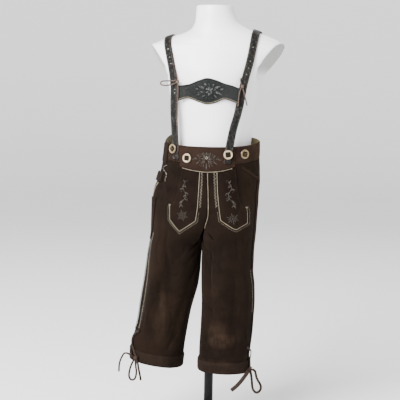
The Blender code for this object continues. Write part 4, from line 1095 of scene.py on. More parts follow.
def bar_on_leg(node, kind, side, angle, z, half_up, half_turn, lift, thick, finish, slot):
    """Flat strip along angle and height, widened up the leg or round it, with rounded edges."""
    turn = np.degrees(half_turn / leg_section(side, z)[1])
    rows = []
    for edge, height in ((1, 0.0), (1, 0.6), (0.8, 1.0), (-0.8, 1.0), (-1, 0.6), (-1, 0.0)):
        rows.append(skin(side, angle + edge * turn, z + edge * half_up, lift + height * thick))
    loft(f"{node}_{kind}", np.stack(rows, axis=1), finish, node)


def patch_on_hip(node, kind, edges, heights, lift, thick, finish):
    """Overlay on the right leg between two angles at each row, its edges rounded over a groove."""
    z = np.linspace(*heights, 60)
    start, end = (edge + 0 * z for edge in (edges(z) if callable(edges) else edges))
    angle = start[:, None] + (end - start)[:, None] * np.linspace(0, 1, 30)
    away = np.minimum(np.minimum(angle - angle[:, :1], angle[:, -1:] - angle),
                      np.minimum(heights[0] - z, z - heights[1])[:, None])
    ridge = thick * (0.35 + 0.65 * rounded(away, 1.4)) - 0.3 * bell(away - 2.6, 0.7)
    wall(node, kind, skin("right", angle, z[:, None], lift + ridge),
         skin("right", angle, z[:, None], lift), finish)


def knife_edges(z):
    """Edges of the knife pocket: it narrows to a blunt point at its lower end."""
    taper = np.clip((z - KNIFE_POCKET[1]) / KNIFE_TAPER, 0, 1) ** 0.5
    return [point + widen * taper for point, widen in zip(KNIFE_POINT, KNIFE_WIDEN)]


def side_pieces(suede, band, piping):
    for name, (side, top, end, front_top, front_end, slot) in WELTS.items():
        z = np.linspace(top, end, int((top - end) / 3))
        angle = side_seam(side, z) - np.linspace(front_top, front_end, len(z))
        bar_on_leg(name, "strip", side, angle, z, 0.0, WELT_HALF, LIFT["welt"],
                   WELT_WALL, suede if slot == "suede" else piping, slot)
    patch_on_hip("knife_pocket", "suede", knife_edges, KNIFE_POCKET, LIFT["knife_pocket"],
                 PATCH_WALL, suede)
    patch_on_hip("pocket_flap_right", "suede", POCKET_FLAP_EDGES, POCKET_FLAP,
                 LIFT["pocket_flap"], POCKET_FLAP_WALL, band)
    patch_on_hip("hip_tab", "leather", HIP_TAB_EDGES, HIP_TAB, LIFT["hip_tab"], PATCH_WALL, band)
    lift = LIFT["pocket_welt"] + WELT_TIP_OUT * np.linspace(0, 1, 50) ** 6
    bar_on_leg("pocket_welt_left", "suede", "left", *resample(WELT_ENDS, 50).T, 4.0, 0.0, lift,
               PATCH_WALL, band, "suede_band")


# ---------------- form and stand
def form_half(name, z):
    return smooth(z, FORM_SECTIONS["z"], FORM_SECTIONS[name])


def form_cut(side, y, z):
    """Largest distance from the axis left by the flat arm cut."""
    (tip_x, tip_z), (pit_x, pit_z) = ARM_CUT_TIP[side], ARM_CUT_PIT
    straight = np.maximum(pit_x + (tip_x - pit_x) * (z - pit_z) / (tip_z - pit_z), pit_x)
    return straight + ARM_CUT_TURN * y * np.interp(z, ARM_CUT_FADE, (0, 1))


def form_depth(x, z):
    """Half depth of the form at x and z; zero beside it."""
    wide = np.where(np.asarray(x) < 0, form_half("right", z), form_half("left", z))
    return form_half("depth", z) * np.sqrt(1 - np.clip(np.abs(x) / wide, 0, 1) ** 2)


def form_shell(finishes):
    """Limbless form: ellipses up the body, clipped by the arm cuts, rolled in at the neck's rim."""
    top = FORM_SECTIONS["z"][-1]
    body = np.linspace(560, top - 2.5, 176)
    z = np.concatenate([[556.0, 556.4, 557.2, 558.5], body, [top - 1.2, top - 0.4, top]])
    roll = np.concatenate([[5.0, 2.4, 1.0, 0.3], 0 * body, [0.25, 0.8, 1.8]])[:, None]
    turn = circle(160)
    # points gather where the arm cut meets the shoulder, so that its rim is crisp
    turn = turn - 0.10 * np.sin(2 * turn)
    high = z[:, None]
    wide = np.where(np.cos(turn) < 0, form_half("right", high), form_half("left", high)) - roll
    x = wide * np.cos(turn)
    y = (form_half("depth", high) - roll) * np.sin(turn)
    cut = np.where(np.cos(turn) < 0, form_cut("right", y, high), form_cut("left", y, high))
    soft = 1.2
    over = (np.abs(x) - cut) / soft
    held = cut - soft * np.log1p(np.exp(np.clip(-over, -30, 30)))
    x = np.where(over > -8, np.sign(x) * np.minimum(np.abs(x), held), x)
    rings = joined(x, y, high)
    # faces clipped flat by the arm cuts take the second, duller finish: grey painted shade
    quads = loft_quads(len(z), len(turn))
    clipped = np.ravel((over > 0.15) & (high > ARM_CUT_PIT[1] - 8.0))
    make_piece("torso_form_shell", rings.reshape(-1, 3), quads, finishes, "torso_form",
               pick=clipped[quads].all(axis=1))


def stand_pieces(finish):
    pole = ((POLE_RADIUS - 0.5, FOOT_WALL + GAP), (POLE_RADIUS, FOOT_WALL + 1.0),
            (POLE_RADIUS, POLE_TOP - 0.6), (POLE_RADIUS - 0.6, POLE_TOP))
    turned("stand_pole", "steel", pole, (0, 0, 0), (0, 0, 1), finish, 64)
    edge = 2.5
    arc = [(FOOT_RADIUS - edge + edge * sin(t), FOOT_WALL - edge + edge * cos(t))
           for t in np.linspace(pi / 2, 0, 7)]
    plate = [(FOOT_RADIUS - 0.8, 0.0), (FOOT_RADIUS, 0.8)] + arc + [(60.0, FOOT_WALL), (14.0, FOOT_WALL)]
    turned("stand_foot", "steel", plate, (0, 0, 0), (0, 0, 1), finish, 96)


# ---------------- braces
STRAP_KNOTS = 21             # from the shoulder's top down to either end
STRAP_ROWS = 170
JOINT_Z = 806.0              # the shoulder strap ends here, on top of the lower strap
JOINT_STEP = 1.5


def pulled_taut(depth, height):
    """Smallest depths that no straight line between two points of the profile passes."""
    n = len(height)
    best = depth.copy()
    for j in range(n):
        for k in range(j + 2, n):
            t = (height[j + 1:k] - height[j]) / (height[k] - height[j])
            best[j + 1:k] = np.maximum(best[j + 1:k], depth[j] + (depth[k] - depth[j]) * t)
    return best


@lru_cache(maxsize=None)
def strap_line(side, face, offset):
    """One line of a strap from the shoulder's top down to its end: (x, y, z) rows."""
    key = face + "_" + side
    sign = FACES[face]
    shoulder = smooth(925.0, STRAPS["z"], STRAPS[key]) + offset
    # height at which the form is as wide as the shoulder point
    probe = np.linspace(895, 940, 450)
    top = float(np.interp(-abs(shoulder), -form_half(side, probe), probe))
    share = np.linspace(0, 1, STRAP_KNOTS)
    z = top - (top - STRAP_END[key]) * share ** 2
    x = smooth(z, STRAPS["z"], STRAPS[key]) + offset
    rest = form_depth(x, z)
    under = GAP
    if key == "front_left":          # this end lies on the drop front's band
        under = LIFT["leaf"] + LIFT["flap_band"] + APPLIQUE
    on_band = np.abs(face_on(x, np.minimum(z, BAND_SEEN_TOP), under, face)[:, 1])
    depth = np.where(z < WAIST_TOP - 1.0, np.maximum(rest, on_band), rest)
    depth = pulled_taut(depth, z)
    lean = np.gradient(depth, z)
    normal = unit(joined(0.0, 1.0, -lean))
    normal[0] = (0, 0, 1)
    line = joined(x, sign * (depth + normal[:, 1] * STRAP_CLEAR), z + normal[:, 2] * STRAP_CLEAR)
    line[0] = (x[0], 0.0, z[0] + STRAP_CLEAR)
    return line


# Strap section: share of the half width across, height up from the underside in walls.
STRAP_PROFILE = ((-1.0, 0.12), (-1.0, 0.80), (-0.97, 0.95), (-0.90, 1.0), (-0.5, 1.06), (0.0, 1.08),
                 (0.5, 1.06), (0.90, 1.0), (0.97, 0.95), (1.0, 0.80), (1.0, 0.12), (0.93, 0.0),
                 (0.0, 0.0), (-0.93, 0.0))


@lru_cache(maxsize=None)
def strap_frame(side):
    """Whole strap from the back button over the shoulder to the front: middle, half width, up."""
    half = STRAP_WIDTH / 2
    lines = []
    for offset in (-half, 0.0, half):
        back = strap_line(side, "back", offset)
        front = strap_line(side, "front", offset)
        lines.append(smooth_route(np.concatenate([back[::-1], front[1:]]), 0.5))
    lines = [resample(line, STRAP_ROWS) for line in lines]
    low = np.stack(lines, axis=1)
    normal = unit(np.cross(np.gradient(low, axis=1), np.gradient(low, axis=0))[:, 1])
    if normal[STRAP_ROWS // 2, 2] < 0:
        normal = -normal
    return low, normal


def brace(side, finish):
    """Strap lofted through its rounded section; the upper strap is a step thicker."""
    low, normal = strap_frame(side)
    share, height = np.array(STRAP_PROFILE).T
    middle = low[:, 1]
    left, right = low[:, 0] - middle, low[:, 2] - middle
    # the front end narrows to a rounded tab
    run = run_along(middle)
    to_front = run[-1] - run
    narrow = 1 - 0.42 * bell(to_front - 12.0, 5.0) * (to_front < 60)
    narrow *= 1 - 0.35 * bell(to_front, 2.2)
    narrow = narrow * (1 - 0.35 * bell(run, 2.2))
    across = np.where(share[None, :, None] < 0, -share[None, :, None] * left[:, None],
                      share[None, :, None] * right[:, None]) * narrow[:, None, None]
    front_of = middle[:, 1] < 0
    upper = np.where(front_of, np.clip((middle[:, 2] - JOINT_Z) / 1.2, 0, 1), 1.0)
    thick = STRAP_WALL * height[None] + JOINT_STEP * upper[:, None] * (height[None] > 0.3)
    rings = middle[:, None] + across + normal[:, None] * thick[..., None]
    uv = joined(share[None] * 0.5 + 0.5, run[:, None] * MM)
    loft(f"brace_{side}_leather", rings, finish, "brace_" + side, uv=uv)


def depth_at_brace(side, z):
    line = strap_line(side, "front", -SIDES[side] * STRAP_WIDTH / 2)
    return float(np.interp(-z, -line[:, 2], -line[:, 1]))


# Raised ornament of the chest strap: leaves as x, z, direction, length and half width.
RELIEF = (
    (3, 793, 90, 11, 3.2), (3, 793, 30, 10, 2.8), (3, 793, 150, 10, 2.8), (3, 791, -30, 10, 2.8),
    (3, 791, 210, 10, 2.8), (3, 790, 270, 10, 3.0), (14, 797, 25, 13, 2.8), (16, 790, -12, 14, 2.8),
    (12, 783, -35, 10, 2.3), (-8, 797, 155, 13, 2.8), (-10, 790, 192, 14, 2.8),
    (-6, 783, 215, 10, 2.3), (10, 803, 55, 9, 2.2), (-4, 803, 125, 9, 2.2), (-20, 795, 170, 10, 2.0),
    (26, 795, 10, 10, 2.0), (-18, 785, 200, 9, 1.9), (25, 785, -20, 9, 1.9),
    (3, 802, 75, 8, 1.4), (3, 802, 105, 8, 1.4), (12, 791, 45, 9, 1.5), (13, 787, 8, 10, 1.4),
    (-7, 791, 135, 9, 1.5), (-8, 787, 172, 10, 1.4), (8, 779, -60, 7, 1.4), (-2, 779, 240, 7, 1.4),
    (20, 791, -50, 8, 1.4), (-14, 791, 230, 8, 1.4), (22, 800, 30, 8, 1.3), (-16, 800, 150, 8, 1.3),
)


def relief_height(x, z):
    """Raised leaves: each a lens along its own direction with a fine groove down its middle."""
    total = np.zeros(np.broadcast(x, z).shape)
    for leaf_x, leaf_z, turn, length, half in RELIEF:
        c, s = heading(turn)
        along = ((x - leaf_x) * c + (z - leaf_z) * s) / length
        off = -(x - leaf_x) * s + (z - leaf_z) * c
        wide = half * np.sin(pi * np.clip(along, 0, 1)) ** 0.8
        lens = np.clip(1 - (np.abs(off) / np.maximum(wide, 1e-3)) ** 2, 0, 1)
        total = np.maximum(total, lens ** 0.5 * (1 - 0.6 * bell(off, 0.4)))
    return total


CHEST_RELIEF = 1.1
CHEST_PIPING_IN = 3.2


def read_rows(rows, at):
    """Columns of a grid read between its rows, at places counted in rows."""
    k = np.clip(at.astype(int), 0, len(rows) - 2)
    columns = np.arange(rows.shape[1])
    return rows[k, columns] * (1 - (at - k)) + rows[k + 1, columns] * (at - k)


def chest_edges(x):
    return [smooth(x, CHEST_STRAP["x"], CHEST_STRAP[name]) for name in ("top", "bottom")]


def chest_surface(x, z):
    """Inner face of the chest strap at columns x and rows z: taut over the chest to the braces."""
    over = STRAP_WALL + 2 * GAP
    ends = np.array([0, -1])
    lines = []
    for row in z:
        depth = form_depth(x, row)
        depth[ends] = [depth_at_brace("right", row[0]) + over, depth_at_brace("left", row[-1]) + over]
        lines.append(pulled_taut(depth, x))
    return -np.stack(lines) - CHEST_CLEAR


def chest_strap(finish, piping):
    """Chest strap: a shaped leather plate with a raised rim and the relief worked into its face."""
    knots = np.linspace(CHEST_STRAP["x"][0], CHEST_STRAP["x"][-1], 21)
    top, low = chest_edges(knots)
    base = chest_surface(knots, top + (low - top) * np.linspace(0, 1, 4)[:, None])
    x = np.linspace(knots[0], knots[-1], 280)
    share = np.concatenate([[0, 0.006, 0.02], np.linspace(0.04, 0.96, 86), [0.98, 0.994, 1.0]])[:, None]
    top, low = chest_edges(x)
    z = top + (low - top) * share
    rows = np.stack([smooth(x, knots, line) for line in base])
    last = len(rows) - 1
    inner = joined(x, read_rows(rows, share * last), z)
    normal = unit(np.cross(np.gradient(inner, axis=1), np.gradient(inner, axis=0)))
    normal = np.where(normal[..., 1:2] > 0, -normal, normal)
    away = np.minimum(np.minimum(top - z, z - low), np.minimum(x - x[0], x[-1] - x) + 1.0)
    leaves = relief_height(x, z)
    rim = 0.5 * bell(away - 1.6, 0.8) - 0.4 * bell(away - 4.2, 0.7)
    height = STRAP_WALL * (0.5 + 0.5 * rounded(away, 1.2)) + CHEST_RELIEF * leaves + rim
    uv = joined(0.5 + 0.5 * (away < 0.5), x * MM)
    wall("chest_strap", "leather", inner + normal * height[..., None], inner, finish,
         uv, {"relief": leaves})
    line_z = low + CHEST_PIPING_IN
    y = read_rows(rows, np.clip((line_z - top) / (low - top), 0, 1) * last)
    line = joined(x, y - STRAP_WALL - 0.5, line_z)[6:-6]
    tube("chest_strap_piping", line, (0.0, -1.0, 0.0), 0.5, piping)


# Eyelets: which strap, height, and how far across it as a share of its half width.
EYELETS = (
    ("right", 884.0, 0.05), ("right", 868.0, 0.02), ("right", 853.0, 0.05),
    ("right", 795.0, 0.35), ("right", 786.0, 0.30),
    ("left", 862.0, 0.05), ("left", 845.0, 0.0), ("left", 832.0, 0.0), ("left", 893.0, 0.05),
)
EYELET_RADIUS = 0.85         # of the ring's middle line
EYELET_TUBE = 0.38           # half width and half height of its section
EYELET_HEIGHT = 0.3


def eyelets(finish):
    """Small rings pressed into the straps: a torus section turned about the strap's normal."""
    turn, small = circle(20), circle(8, 0.5)
    out, high = EYELET_TUBE * np.cos(small), EYELET_HEIGHT * np.sin(small)
    quads = grid_quads(len(turn) + 1, len(small), ring=True) % (len(turn) * len(small))
    for number, (side, z, share) in enumerate(EYELETS):
        low, normal = strap_frame(side)
        front = low[:, 1, 1] < -10
        order = np.argsort(low[front, 1, 2])
        pick = np.arange(len(low))[front][order]
        row = pick[int(np.interp(z, low[pick, 1, 2], np.arange(len(pick))))]
        upper = JOINT_STEP if z > JOINT_Z else 0.0
        middle = low[row, 1] + (low[row, 2] - low[row, 1]) * share + normal[row] * (
            STRAP_WALL * 1.05 + upper)
        across = unit(low[row, 2] - low[row, 0])
        rim = around(turn, across, np.cross(normal[row], across))
        rings = middle + rim[:, None] * (EYELET_RADIUS + out)[:, None] + normal[row] * high[:, None]
        make_piece(f"eyelet_{number + 1}", rings.reshape(-1, 3), quads, finish)


# ---------------- buttons
# Radius, height and how near the rim, from the back over the rim to the dished middle.
BUTTON_PROFILE = ((4.0, 0.0, 0.0), (6.5, 0.0, 0.0), (8.8, 0.25, 0.8), (10.2, 0.9, 1.0), (10.9, 1.7, 1.0),
                  (11.0, 2.1, 1.0), (10.85, 2.7, 1.0), (10.3, 3.4, 0.95), (9.6, 3.85, 0.55),
                  (8.9, 4.0, 0.2), (8.2, 3.85, 0.15), (7.5, 3.4, 0.35), (6.8, 3.1, 0.3), (4.0, 3.0, 0.0),
                  (1.0, 3.0, 0.0))
INLAY = 5.8                  # half side of the dark square inlay
INLAY_THICK = 0.9
INLAY_FLOOR = 3.1            # its underside above the button's back


# Where the stitches that hold a button start: across its inlay and down from its middle.
UPRIGHT_STITCHES = ((-1.9, 3.4), (-1.2, 3.4), (1.2, 3.4), (1.9, 3.4))
CROSS_STITCHES = ((-2.9, 3.5), (-3.5, 2.9), (2.9, 3.5), (3.5, 2.9))


def superellipse_ring(half, power, count):
    """Points round a square with rounded corners: |x/h|^p + |y/h|^p = 1."""
    turn = circle(count)
    c, s = np.cos(turn), np.sin(turn)
    return half * joined(np.sign(c) * np.abs(c) ** (2 / power), np.sign(s) * np.abs(s) ** (2 / power))


def buttons(horn, yellow, inlay, golden, thread):
    for name, (x, z, lift, face, turn) in BUTTONS.items():
        outer = "waist" in name
        foot = face_on(x, z, lift, face)
        tip = face_on(x, z, lift + 1.0, face)
        out = unit(tip - foot)
        profile = np.array(BUTTON_PROFILE)
        edge = np.repeat(profile[:, 2], 48)
        turned(name, "horn", profile[:, :2], foot, out, yellow if outer else horn,
               values={"edge": edge})
        level = unit(np.cross(out, (0, 0, 1)))
        high = np.cross(level, out)
        c, s = heading(turn)
        level, high = level * c + high * s, high * c - level * s
        rings = []
        for scale, height in ((0.9, -0.15), (1.0, 0.0), (1.0, INLAY_THICK * 0.7), (0.94, INLAY_THICK)):
            ring = superellipse_ring(INLAY * scale, 6.0, 32)
            rings.append(foot + out * (INLAY_FLOOR + height) + ring[:, :1] * level + ring[:, 1:] * high)
        loft(name + "_inlay", np.stack(rings), inlay)
        top = foot + out * (INLAY_FLOOR + INLAY_THICK + 0.25)
        # two upright pairs of stitches, or a cross of yellow ones on the outer buttons
        places = CROSS_STITCHES if outer else UPRIGHT_STITCHES
        start = [top + level * a - high * b for a, b in places]
        end = [top + level * (-a if outer else a) + high * b for a, b in places]
        threads(name + "_thread", start, end, out, golden if outer else thread,
                0.42 if outer else 0.3, 0.25)


# ---------------- laces and thongs
KNOT_CLEAR = 0.5             # a flat cord end off its knot's round face
# Knots: middle and half sizes.
KNOTS = {
    "knot_lace_right": ((-163.2, -56.8, 171.5), (5.0, 3.6, 4.6)),
    "knot_lace_left": ((100.2, -16.2, 152.5), (4.4, 4.4, 4.8)),
    "knot_thong_right": ((-71.5, -65.4, 811.0), (4.2, 3.0, 4.6)),
    "knot_thong_left": ((75.5, -69.8, 803.5), (4.6, 3.2, 4.4)),
}
# Ties lie on the leg: side, lift of the middle off the skin, knot at the end, width, thickness
# over width, and the angle and row height of each point.
TIES = {
    "lace_right_tie": ("right", 4.1, "knot_lace_right", 5.2, 0.45, (
        (-48, 231), (-44, 226), (-39, 221), (-34, 215), (-30, 208),
        (-30, 201), (-34, 194), (-40, 188), (-46, 183), (-52, 179))),
    "lace_left_tie": ("left", 4.0, "knot_lace_left", 5.2, 0.45, (
        (-30, 206), (-24, 203), (-16, 199), (-7, 194), (-1, 189),
        (1, 183), (-2, 177), (-7, 170), (-10, 164))),
    "hip_lace": ("right", 1.7, None, 2.0, 0.8, (
        (-37, 627), (-34, 625), (-31, 622), (-28.5, 618.5), (-29.5, 615),
        (-33, 612.5), (-37, 610), (-40, 606), (-41, 600), (-40, 594), (-41, 588))),
}
# Free laces: the knots that their two ends come out of, width, thickness over width, which way
# the flat side faces, and the route in x, y and z.
CORDS = {
    "lace_right_loop": ("knot_lace_right", "knot_lace_right", 4.6, 0.5, (0.25, -1.0, 0.1), (
        (-169, -57.5, 165), (-172, -58.5, 156), (-175.5, -59.5, 145), (-177.5, -60, 133),
        (-176.5, -59.5, 124), (-171.5, -59, 119), (-165, -58.5, 121), (-161.5, -58, 129),
        (-160.5, -58, 140), (-162, -58.5, 152), (-163.5, -58, 164))),
    "lace_right_end": ("knot_lace_right", None, 5.0, 0.55, (0.5, -1.0, 0.0), (
        (-158.5, -60.5, 165), (-156, -62.2, 158), (-154.5, -62.4, 149), (-152.8, -61, 139),
        (-151, -59.5, 129), (-149.5, -58.5, 119))),
    "lace_right_free": ("knot_lace_right", None, 4.2, 0.5, (0.2, -1.0, 0.3), (
        (-170, -57.5, 174.5), (-175.5, -58.5, 178), (-181.5, -57, 180.5), (-187.5, -54, 180.5),
        (-193, -51, 177.5), (-197.5, -49, 170.5), (-201.5, -47, 162), (-204.5, -46, 152),
        (-205.5, -45.5, 142), (-205.5, -45.5, 133))),
    "lace_left_loop": ("knot_lace_left", "knot_lace_left", 5.8, 0.4, (0.3, -1.0, 0.1), (
        (101.5, -16.5, 145), (103, -16.5, 138), (104.2, -16, 130), (105.3, -16, 120),
        (106.5, -16, 109.5), (109.5, -16, 101.5), (115, -16, 97), (121, -16, 98.5),
        (125.5, -16, 104.5), (126.3, -16, 112), (123.5, -16, 119), (119, -16, 126),
        (115.6, -16, 133), (113.6, -16, 141), (111.6, -16, 147.5), (106.5, -16.2, 151.4))),
    "lace_left_strip": ("knot_lace_left", None, 9.5, 0.22, (0.15, -1.0, 0.35), (
        (99.6, -22.5, 153.5), (98.2, -29.5, 150.5), (94.5, -37, 144.5), (89.5, -42, 137),
        (83.5, -45.5, 129), (77, -47.5, 121), (70, -48.5, 114), (62, -49, 107))),
    "thong_right_loop": ("knot_thong_right", "knot_thong_right", 3.2, 0.5, (0.0, -1.0, 0.3), (
        (-77, -65.5, 808), (-84, -65.3, 805.5), (-91, -65.6, 803.5), (-98, -66.1, 802.5),
        (-105, -66.1, 803), (-110, -65.6, 805.3), (-110, -64.6, 809.8), (-105, -64.1, 812.3),
        (-98, -64.1, 812.8), (-91, -64.1, 813), (-84, -64.3, 813.5), (-77, -64.9, 814))),
    "thong_right_end": ("knot_thong_right", None, 2.8, 0.6, (0.3, -1.0, 0.0), (
        (-70.0, -67.5, 805), (-69.0, -70.4, 797), (-68.5, -71.5, 788), (-68.8, -72.1, 775),
        (-69.2, -72.1, 760), (-69.5, -72.5, 745), (-69.5, -73.5, 730), (-69.5, -74.7, 712))),
    "thong_left_inner": ("knot_thong_left", None, 2.8, 0.6, (0.1, -1.0, 0.1), (
        (72.6, -72.6, 798), (71.6, -75.8, 791), (70.6, -77, 784), (69.8, -77.6, 776),
        (69.2, -78.1, 767), (69, -78.1, 760))),
    "thong_left_outer": ("knot_thong_left", None, 2.8, 0.6, (0.2, -1.0, 0.1), (
        (78, -70.8, 798), (80, -71.2, 791), (82, -70.8, 784), (84, -70.4, 776),
        (86, -69.6, 768), (87.5, -68.6, 761))),
    "thong_left_top": (None, "knot_thong_left", 2.6, 0.6, (0.1, -1.0, 0.1), (
        (72, -66.4, 822), (71.4, -67.8, 817.5), (72.2, -69, 812.5), (73.6, -69.8, 809.5))),
}


def knot_face(knot, toward):
    """Point just off a knot's round face, on the line from its middle towards a point."""
    middle, half = (np.array(sizes) for sizes in KNOTS[knot])
    way = np.asarray(toward, float) - middle
    return middle + way * (1 / np.linalg.norm(way / half) + KNOT_CLEAR / np.linalg.norm(way))


def seated(points, from_knot, to_knot):
    """The route with its ends brought to the faces of the knots that they come out of."""
    points = np.array(points, float)
    if from_knot:
        points[0] = knot_face(from_knot, points[0])
    if to_knot:
        points[-1] = knot_face(to_knot, points[-1])
    return points


SHORTEST_CORD = 30.0         # length that each lace is compared with; nothing follows from it
TIE_ROW = 190.0              # ties face straight out from the leg's middle at this row


def lace(name, route, to_knot, finish, width, flat, facing):
    """Flat leather lace: an oval section along its smooth route, its wide side turned as it lies."""
    line = smooth_route(route, 1.2)
    piece = tube(name + "_leather", line, facing(line), width / 2, finish, name, 12, flat,
                 0.0 if to_knot else 0.15)
    length = length_of(line)
    if length >= SHORTEST_CORD:
        route[0] * MM
        width * MM


def knot(name, finish):
    """Overhand knot: three bulging turns of lace wound over an egg-shaped middle.

    A turn's middle line is an ellipse tipped by its own angle, and a lobed egg lies inside them.
    """
    middle, half = (np.array(sizes) for sizes in KNOTS[name])
    half = half * (1.2 if "lace" in name else 1.0)
    rise = np.linspace(-0.5, 0.5, 15) * pi * 0.96
    turn = circle(28)
    lobe = 0.80 + 0.05 * np.cos(3 * turn[None] + 4 * rise[:, None])
    egg = joined(np.cos(rise)[:, None] * np.cos(turn), np.cos(rise)[:, None] * np.sin(turn),
                 np.sin(rise)[:, None])
    loft(name + "_leather", middle + egg * lobe[..., None] * half, finish, name)
    rings = []
    for tip, shift in ((24.0, 1.1), (-20.0, -1.3), (78.0, 0.2)):
        c, s = heading(tip)
        round_it = np.linspace(0, 2 * pi, 29)
        line = joined(np.cos(round_it) * c, np.sin(round_it) * 0.95, np.cos(round_it) * s) * half * 0.80
        line = line + middle + (0, 0, shift)
        out = unit(line - middle)
        along, across, up = along_frames(line, out)
        rings.append(line[:, None] + half[0] * around(circle(8, 0.5), 0.34 * across, 0.18 * up))
    many(name + "_turns", np.stack(rings), finish)


def laces(leather, thong, pale):
    for name, (side, lift, to_knot, width, flat, places) in TIES.items():
        angle, z = np.array(places, float).T
        route = seated(skin(side, angle, z, lift), None, to_knot)
        centre = np.array([leg_section(side, TIE_ROW)[0], 0.0, 0.0])
        lace(name, route, to_knot, pale if name == "hip_lace" else leather, width, flat,
             lambda line, centre=centre: unit((line - centre) * (1.0, 1.0, 0.0)))
    for name, (from_knot, to_knot, width, flat, facing, points) in CORDS.items():
        route = seated(points, from_knot, to_knot)
        lace(name, route, to_knot, thong if "thong" in name else leather, width, flat,
             lambda line, facing=facing: facing)
    for name in KNOTS:
        knot(name, thong if "thong" in name else leather)


# ---------------- stage
CAMERA_AWAY = 2.6            # from the part's axis, level
CAMERA_ROUND = 10.0          # degrees round from the front to the form's left
CAMERA_DOWN = 6.1            # degrees
CAMERA_ROLL = 1.0            # degrees
AIM_HEIGHT = 0.54
AIM_ASIDE = -0.02737         # the aim lies this far along the picture's own right
LENS = 101.74                # millimetres, on a 36 mm sensor
LIGHT_AIM = 0.55             # height on the axis that every light looks at


def aim_camera():
    """Camera on a circle round the part, looking down at its aim point and rolled a little."""
    turn = radians(CAMERA_ROUND)
    place = Vector((CAMERA_AWAY * sin(turn), -CAMERA_AWAY * cos(turn),
                    AIM_HEIGHT + CAMERA_AWAY * tan(radians(CAMERA_DOWN))))
    aim = Vector((AIM_ASIDE * cos(turn), AIM_ASIDE * sin(turn), AIM_HEIGHT))
    ahead = (aim - place).normalized()
    level = ahead.cross(Vector((0, 0, 1))).normalized()
    high = level.cross(ahead)
    roll = radians(CAMERA_ROLL)
    right = level * cos(roll) + high * sin(roll)
    up = high * cos(roll) - level * sin(roll)
    data = bpy.data.cameras.new("camera")
    data.lens = LENS
    data.sensor_width = 36.0
    data.sensor_fit = "HORIZONTAL"
    camera = placed("camera", data)
    camera.matrix_world = Matrix((
        (right.x, up.x, -ahead.x, place.x), (right.y, up.y, -ahead.y, place.y),
        (right.z, up.z, -ahead.z, place.z), (0, 0, 0, 1)))
    bpy.context.scene.camera = camera


def soft_light(name, place, size, power):
    data = bpy.data.lights.new(name, "AREA")
    data.shape = "RECTANGLE"
    data.size, data.size_y = size
    data.energy = power
    light = placed(name, data)
    light.location = place
    light.rotation_euler = (Vector((0, 0, LIGHT_AIM)) - Vector(place)).to_track_quat("-Z", "Y").to_euler()


def studio(colour, sky):
    """Pale floor that sweeps up into a wall far behind, all round, so every side looks alike."""
    f = Finish("pale_floor", Roughness=0.9, Specular_IOR_Level=0.1)
    finish = f.material(Base_Color=f.place.noise(3.0, 2.0).shade(0.2, 0.8, colour, 0.99, 1.0))
    reach = np.array([0.0, 1.0, 2.5, 4.0, 5.0, 5.6, 6.0, 6.15, 6.2, 6.2])
    height = np.array([0.0, 0.0, 0.0, 0.0, 0.06, 0.25, 0.6, 1.0, 1.5, 2.2]) * 1000 - 0.5
    turn = circle(96)
    x = reach[:, None] * 1000 * np.cos(turn)
    y = reach[:, None] * 1000 * np.sin(turn)
    points = joined(x, y, height[:, None])[1:].reshape(-1, 3)
    centre = len(points)
    points = np.concatenate([points, [(0.0, 0.0, height[0])]])
    rim = np.arange(96)
    quads = grid_quads(9, 96, ring=True).tolist()
    quads += joined(centre, (rim + 1) % 96, rim).tolist()
    mesh = bpy.data.meshes.new("floor")
    mesh.from_pydata((points * MM).tolist(), [], quads)
    mesh.materials.append(finish)
    mesh.shade_smooth()
    placed("floor", mesh)
    world = bpy.data.worlds.new("studio")
    world.use_nodes = True
    backing = world.node_tree.nodes["Background"]
    backing.inputs["Color"].default_value = (1.0, 1.0, 1.0, 1.0)
    backing.inputs["Strength"].default_value = sky
    bpy.context.scene.world = world


# ---------------- sewing and embroidery
SEAM_THREAD = 0.24           # radius of plain thread
SILK = 0.27                  # radius of embroidery thread
SEAM_PITCH = 2.2             # from one stitch to the next round the leaves and the drop front
LONG_PITCH = 2.6             # along the legs
ZIGZAG_PITCH = 3.2
SEAM_IN = 3.0                # plain seams inside the edges
OUTLINE_OUT = 6.2            # cream stitches outside a leaf's outer edge
ZIGZAG_OUT = 7.2             # zigzag outside its inner edge


def stitch_row(line, pitch, share=0.62):
    """Start and end of each running stitch along a flat line of two columns."""
    run = run_along(line)
    at = np.arange(pitch * 0.2, run[-1] - pitch * share, pitch)
    return [read_line(line, run, s) for s in (at, at + pitch * share)]


def sideways(line):
    """Unit directions along a flat line and to its left."""
    along = unit(np.gradient(line, axis=0))
    return along, joined(-along[:, 1], along[:, 0])


def zigzag_row(line, pitch, half):
    """Start and end of each leg of a zigzag along a flat line."""
    count = max(3, int(length_of(line) / pitch))
    even = resample(line, count)
    sway = even + sideways(even)[1] * (half * (-1.0) ** np.arange(count))[:, None]
    return sway[:-1], sway[1:]


def sewn(name, pairs, laid, lift, finish, radius, rise):
    """Stitches given flat, laid on the cloth: laid gives the points of two columns at a lift."""
    start, end = (np.concatenate([pair[k] for pair in pairs]) for k in (0, 1))
    low = laid(*start.T, lift)
    threads(name, low, laid(*end.T, lift), laid(*start.T, lift + 1.0) - low, finish, radius, rise)


def sewn_front(name, pairs, lift, finish, radius, rise=0.3):
    """Stitches as x and z seen from the front."""
    sewn(name, pairs, face_on, lift, finish, radius, rise)


def sewn_side(name, side, pairs, lift, finish, radius):
    """Stitches as angle and row height on a leg."""
    sewn(name, pairs, partial(skin, side), lift, finish, radius, 0.3)


def satin(line, width, pitch=0.62, slant=0.45):
    """Satin stitches across a flat line: width is one number, or one for each of its points."""
    run = run_along(line)
    at = np.linspace(0, run[-1], max(3, int(run[-1] / pitch)))
    even = read_line(line, run, at)
    along, side = sideways(even)
    reach = (side + along * slant) * np.interp(at, run, width + 0 * run)[:, None] / 2
    return even - reach, even + reach


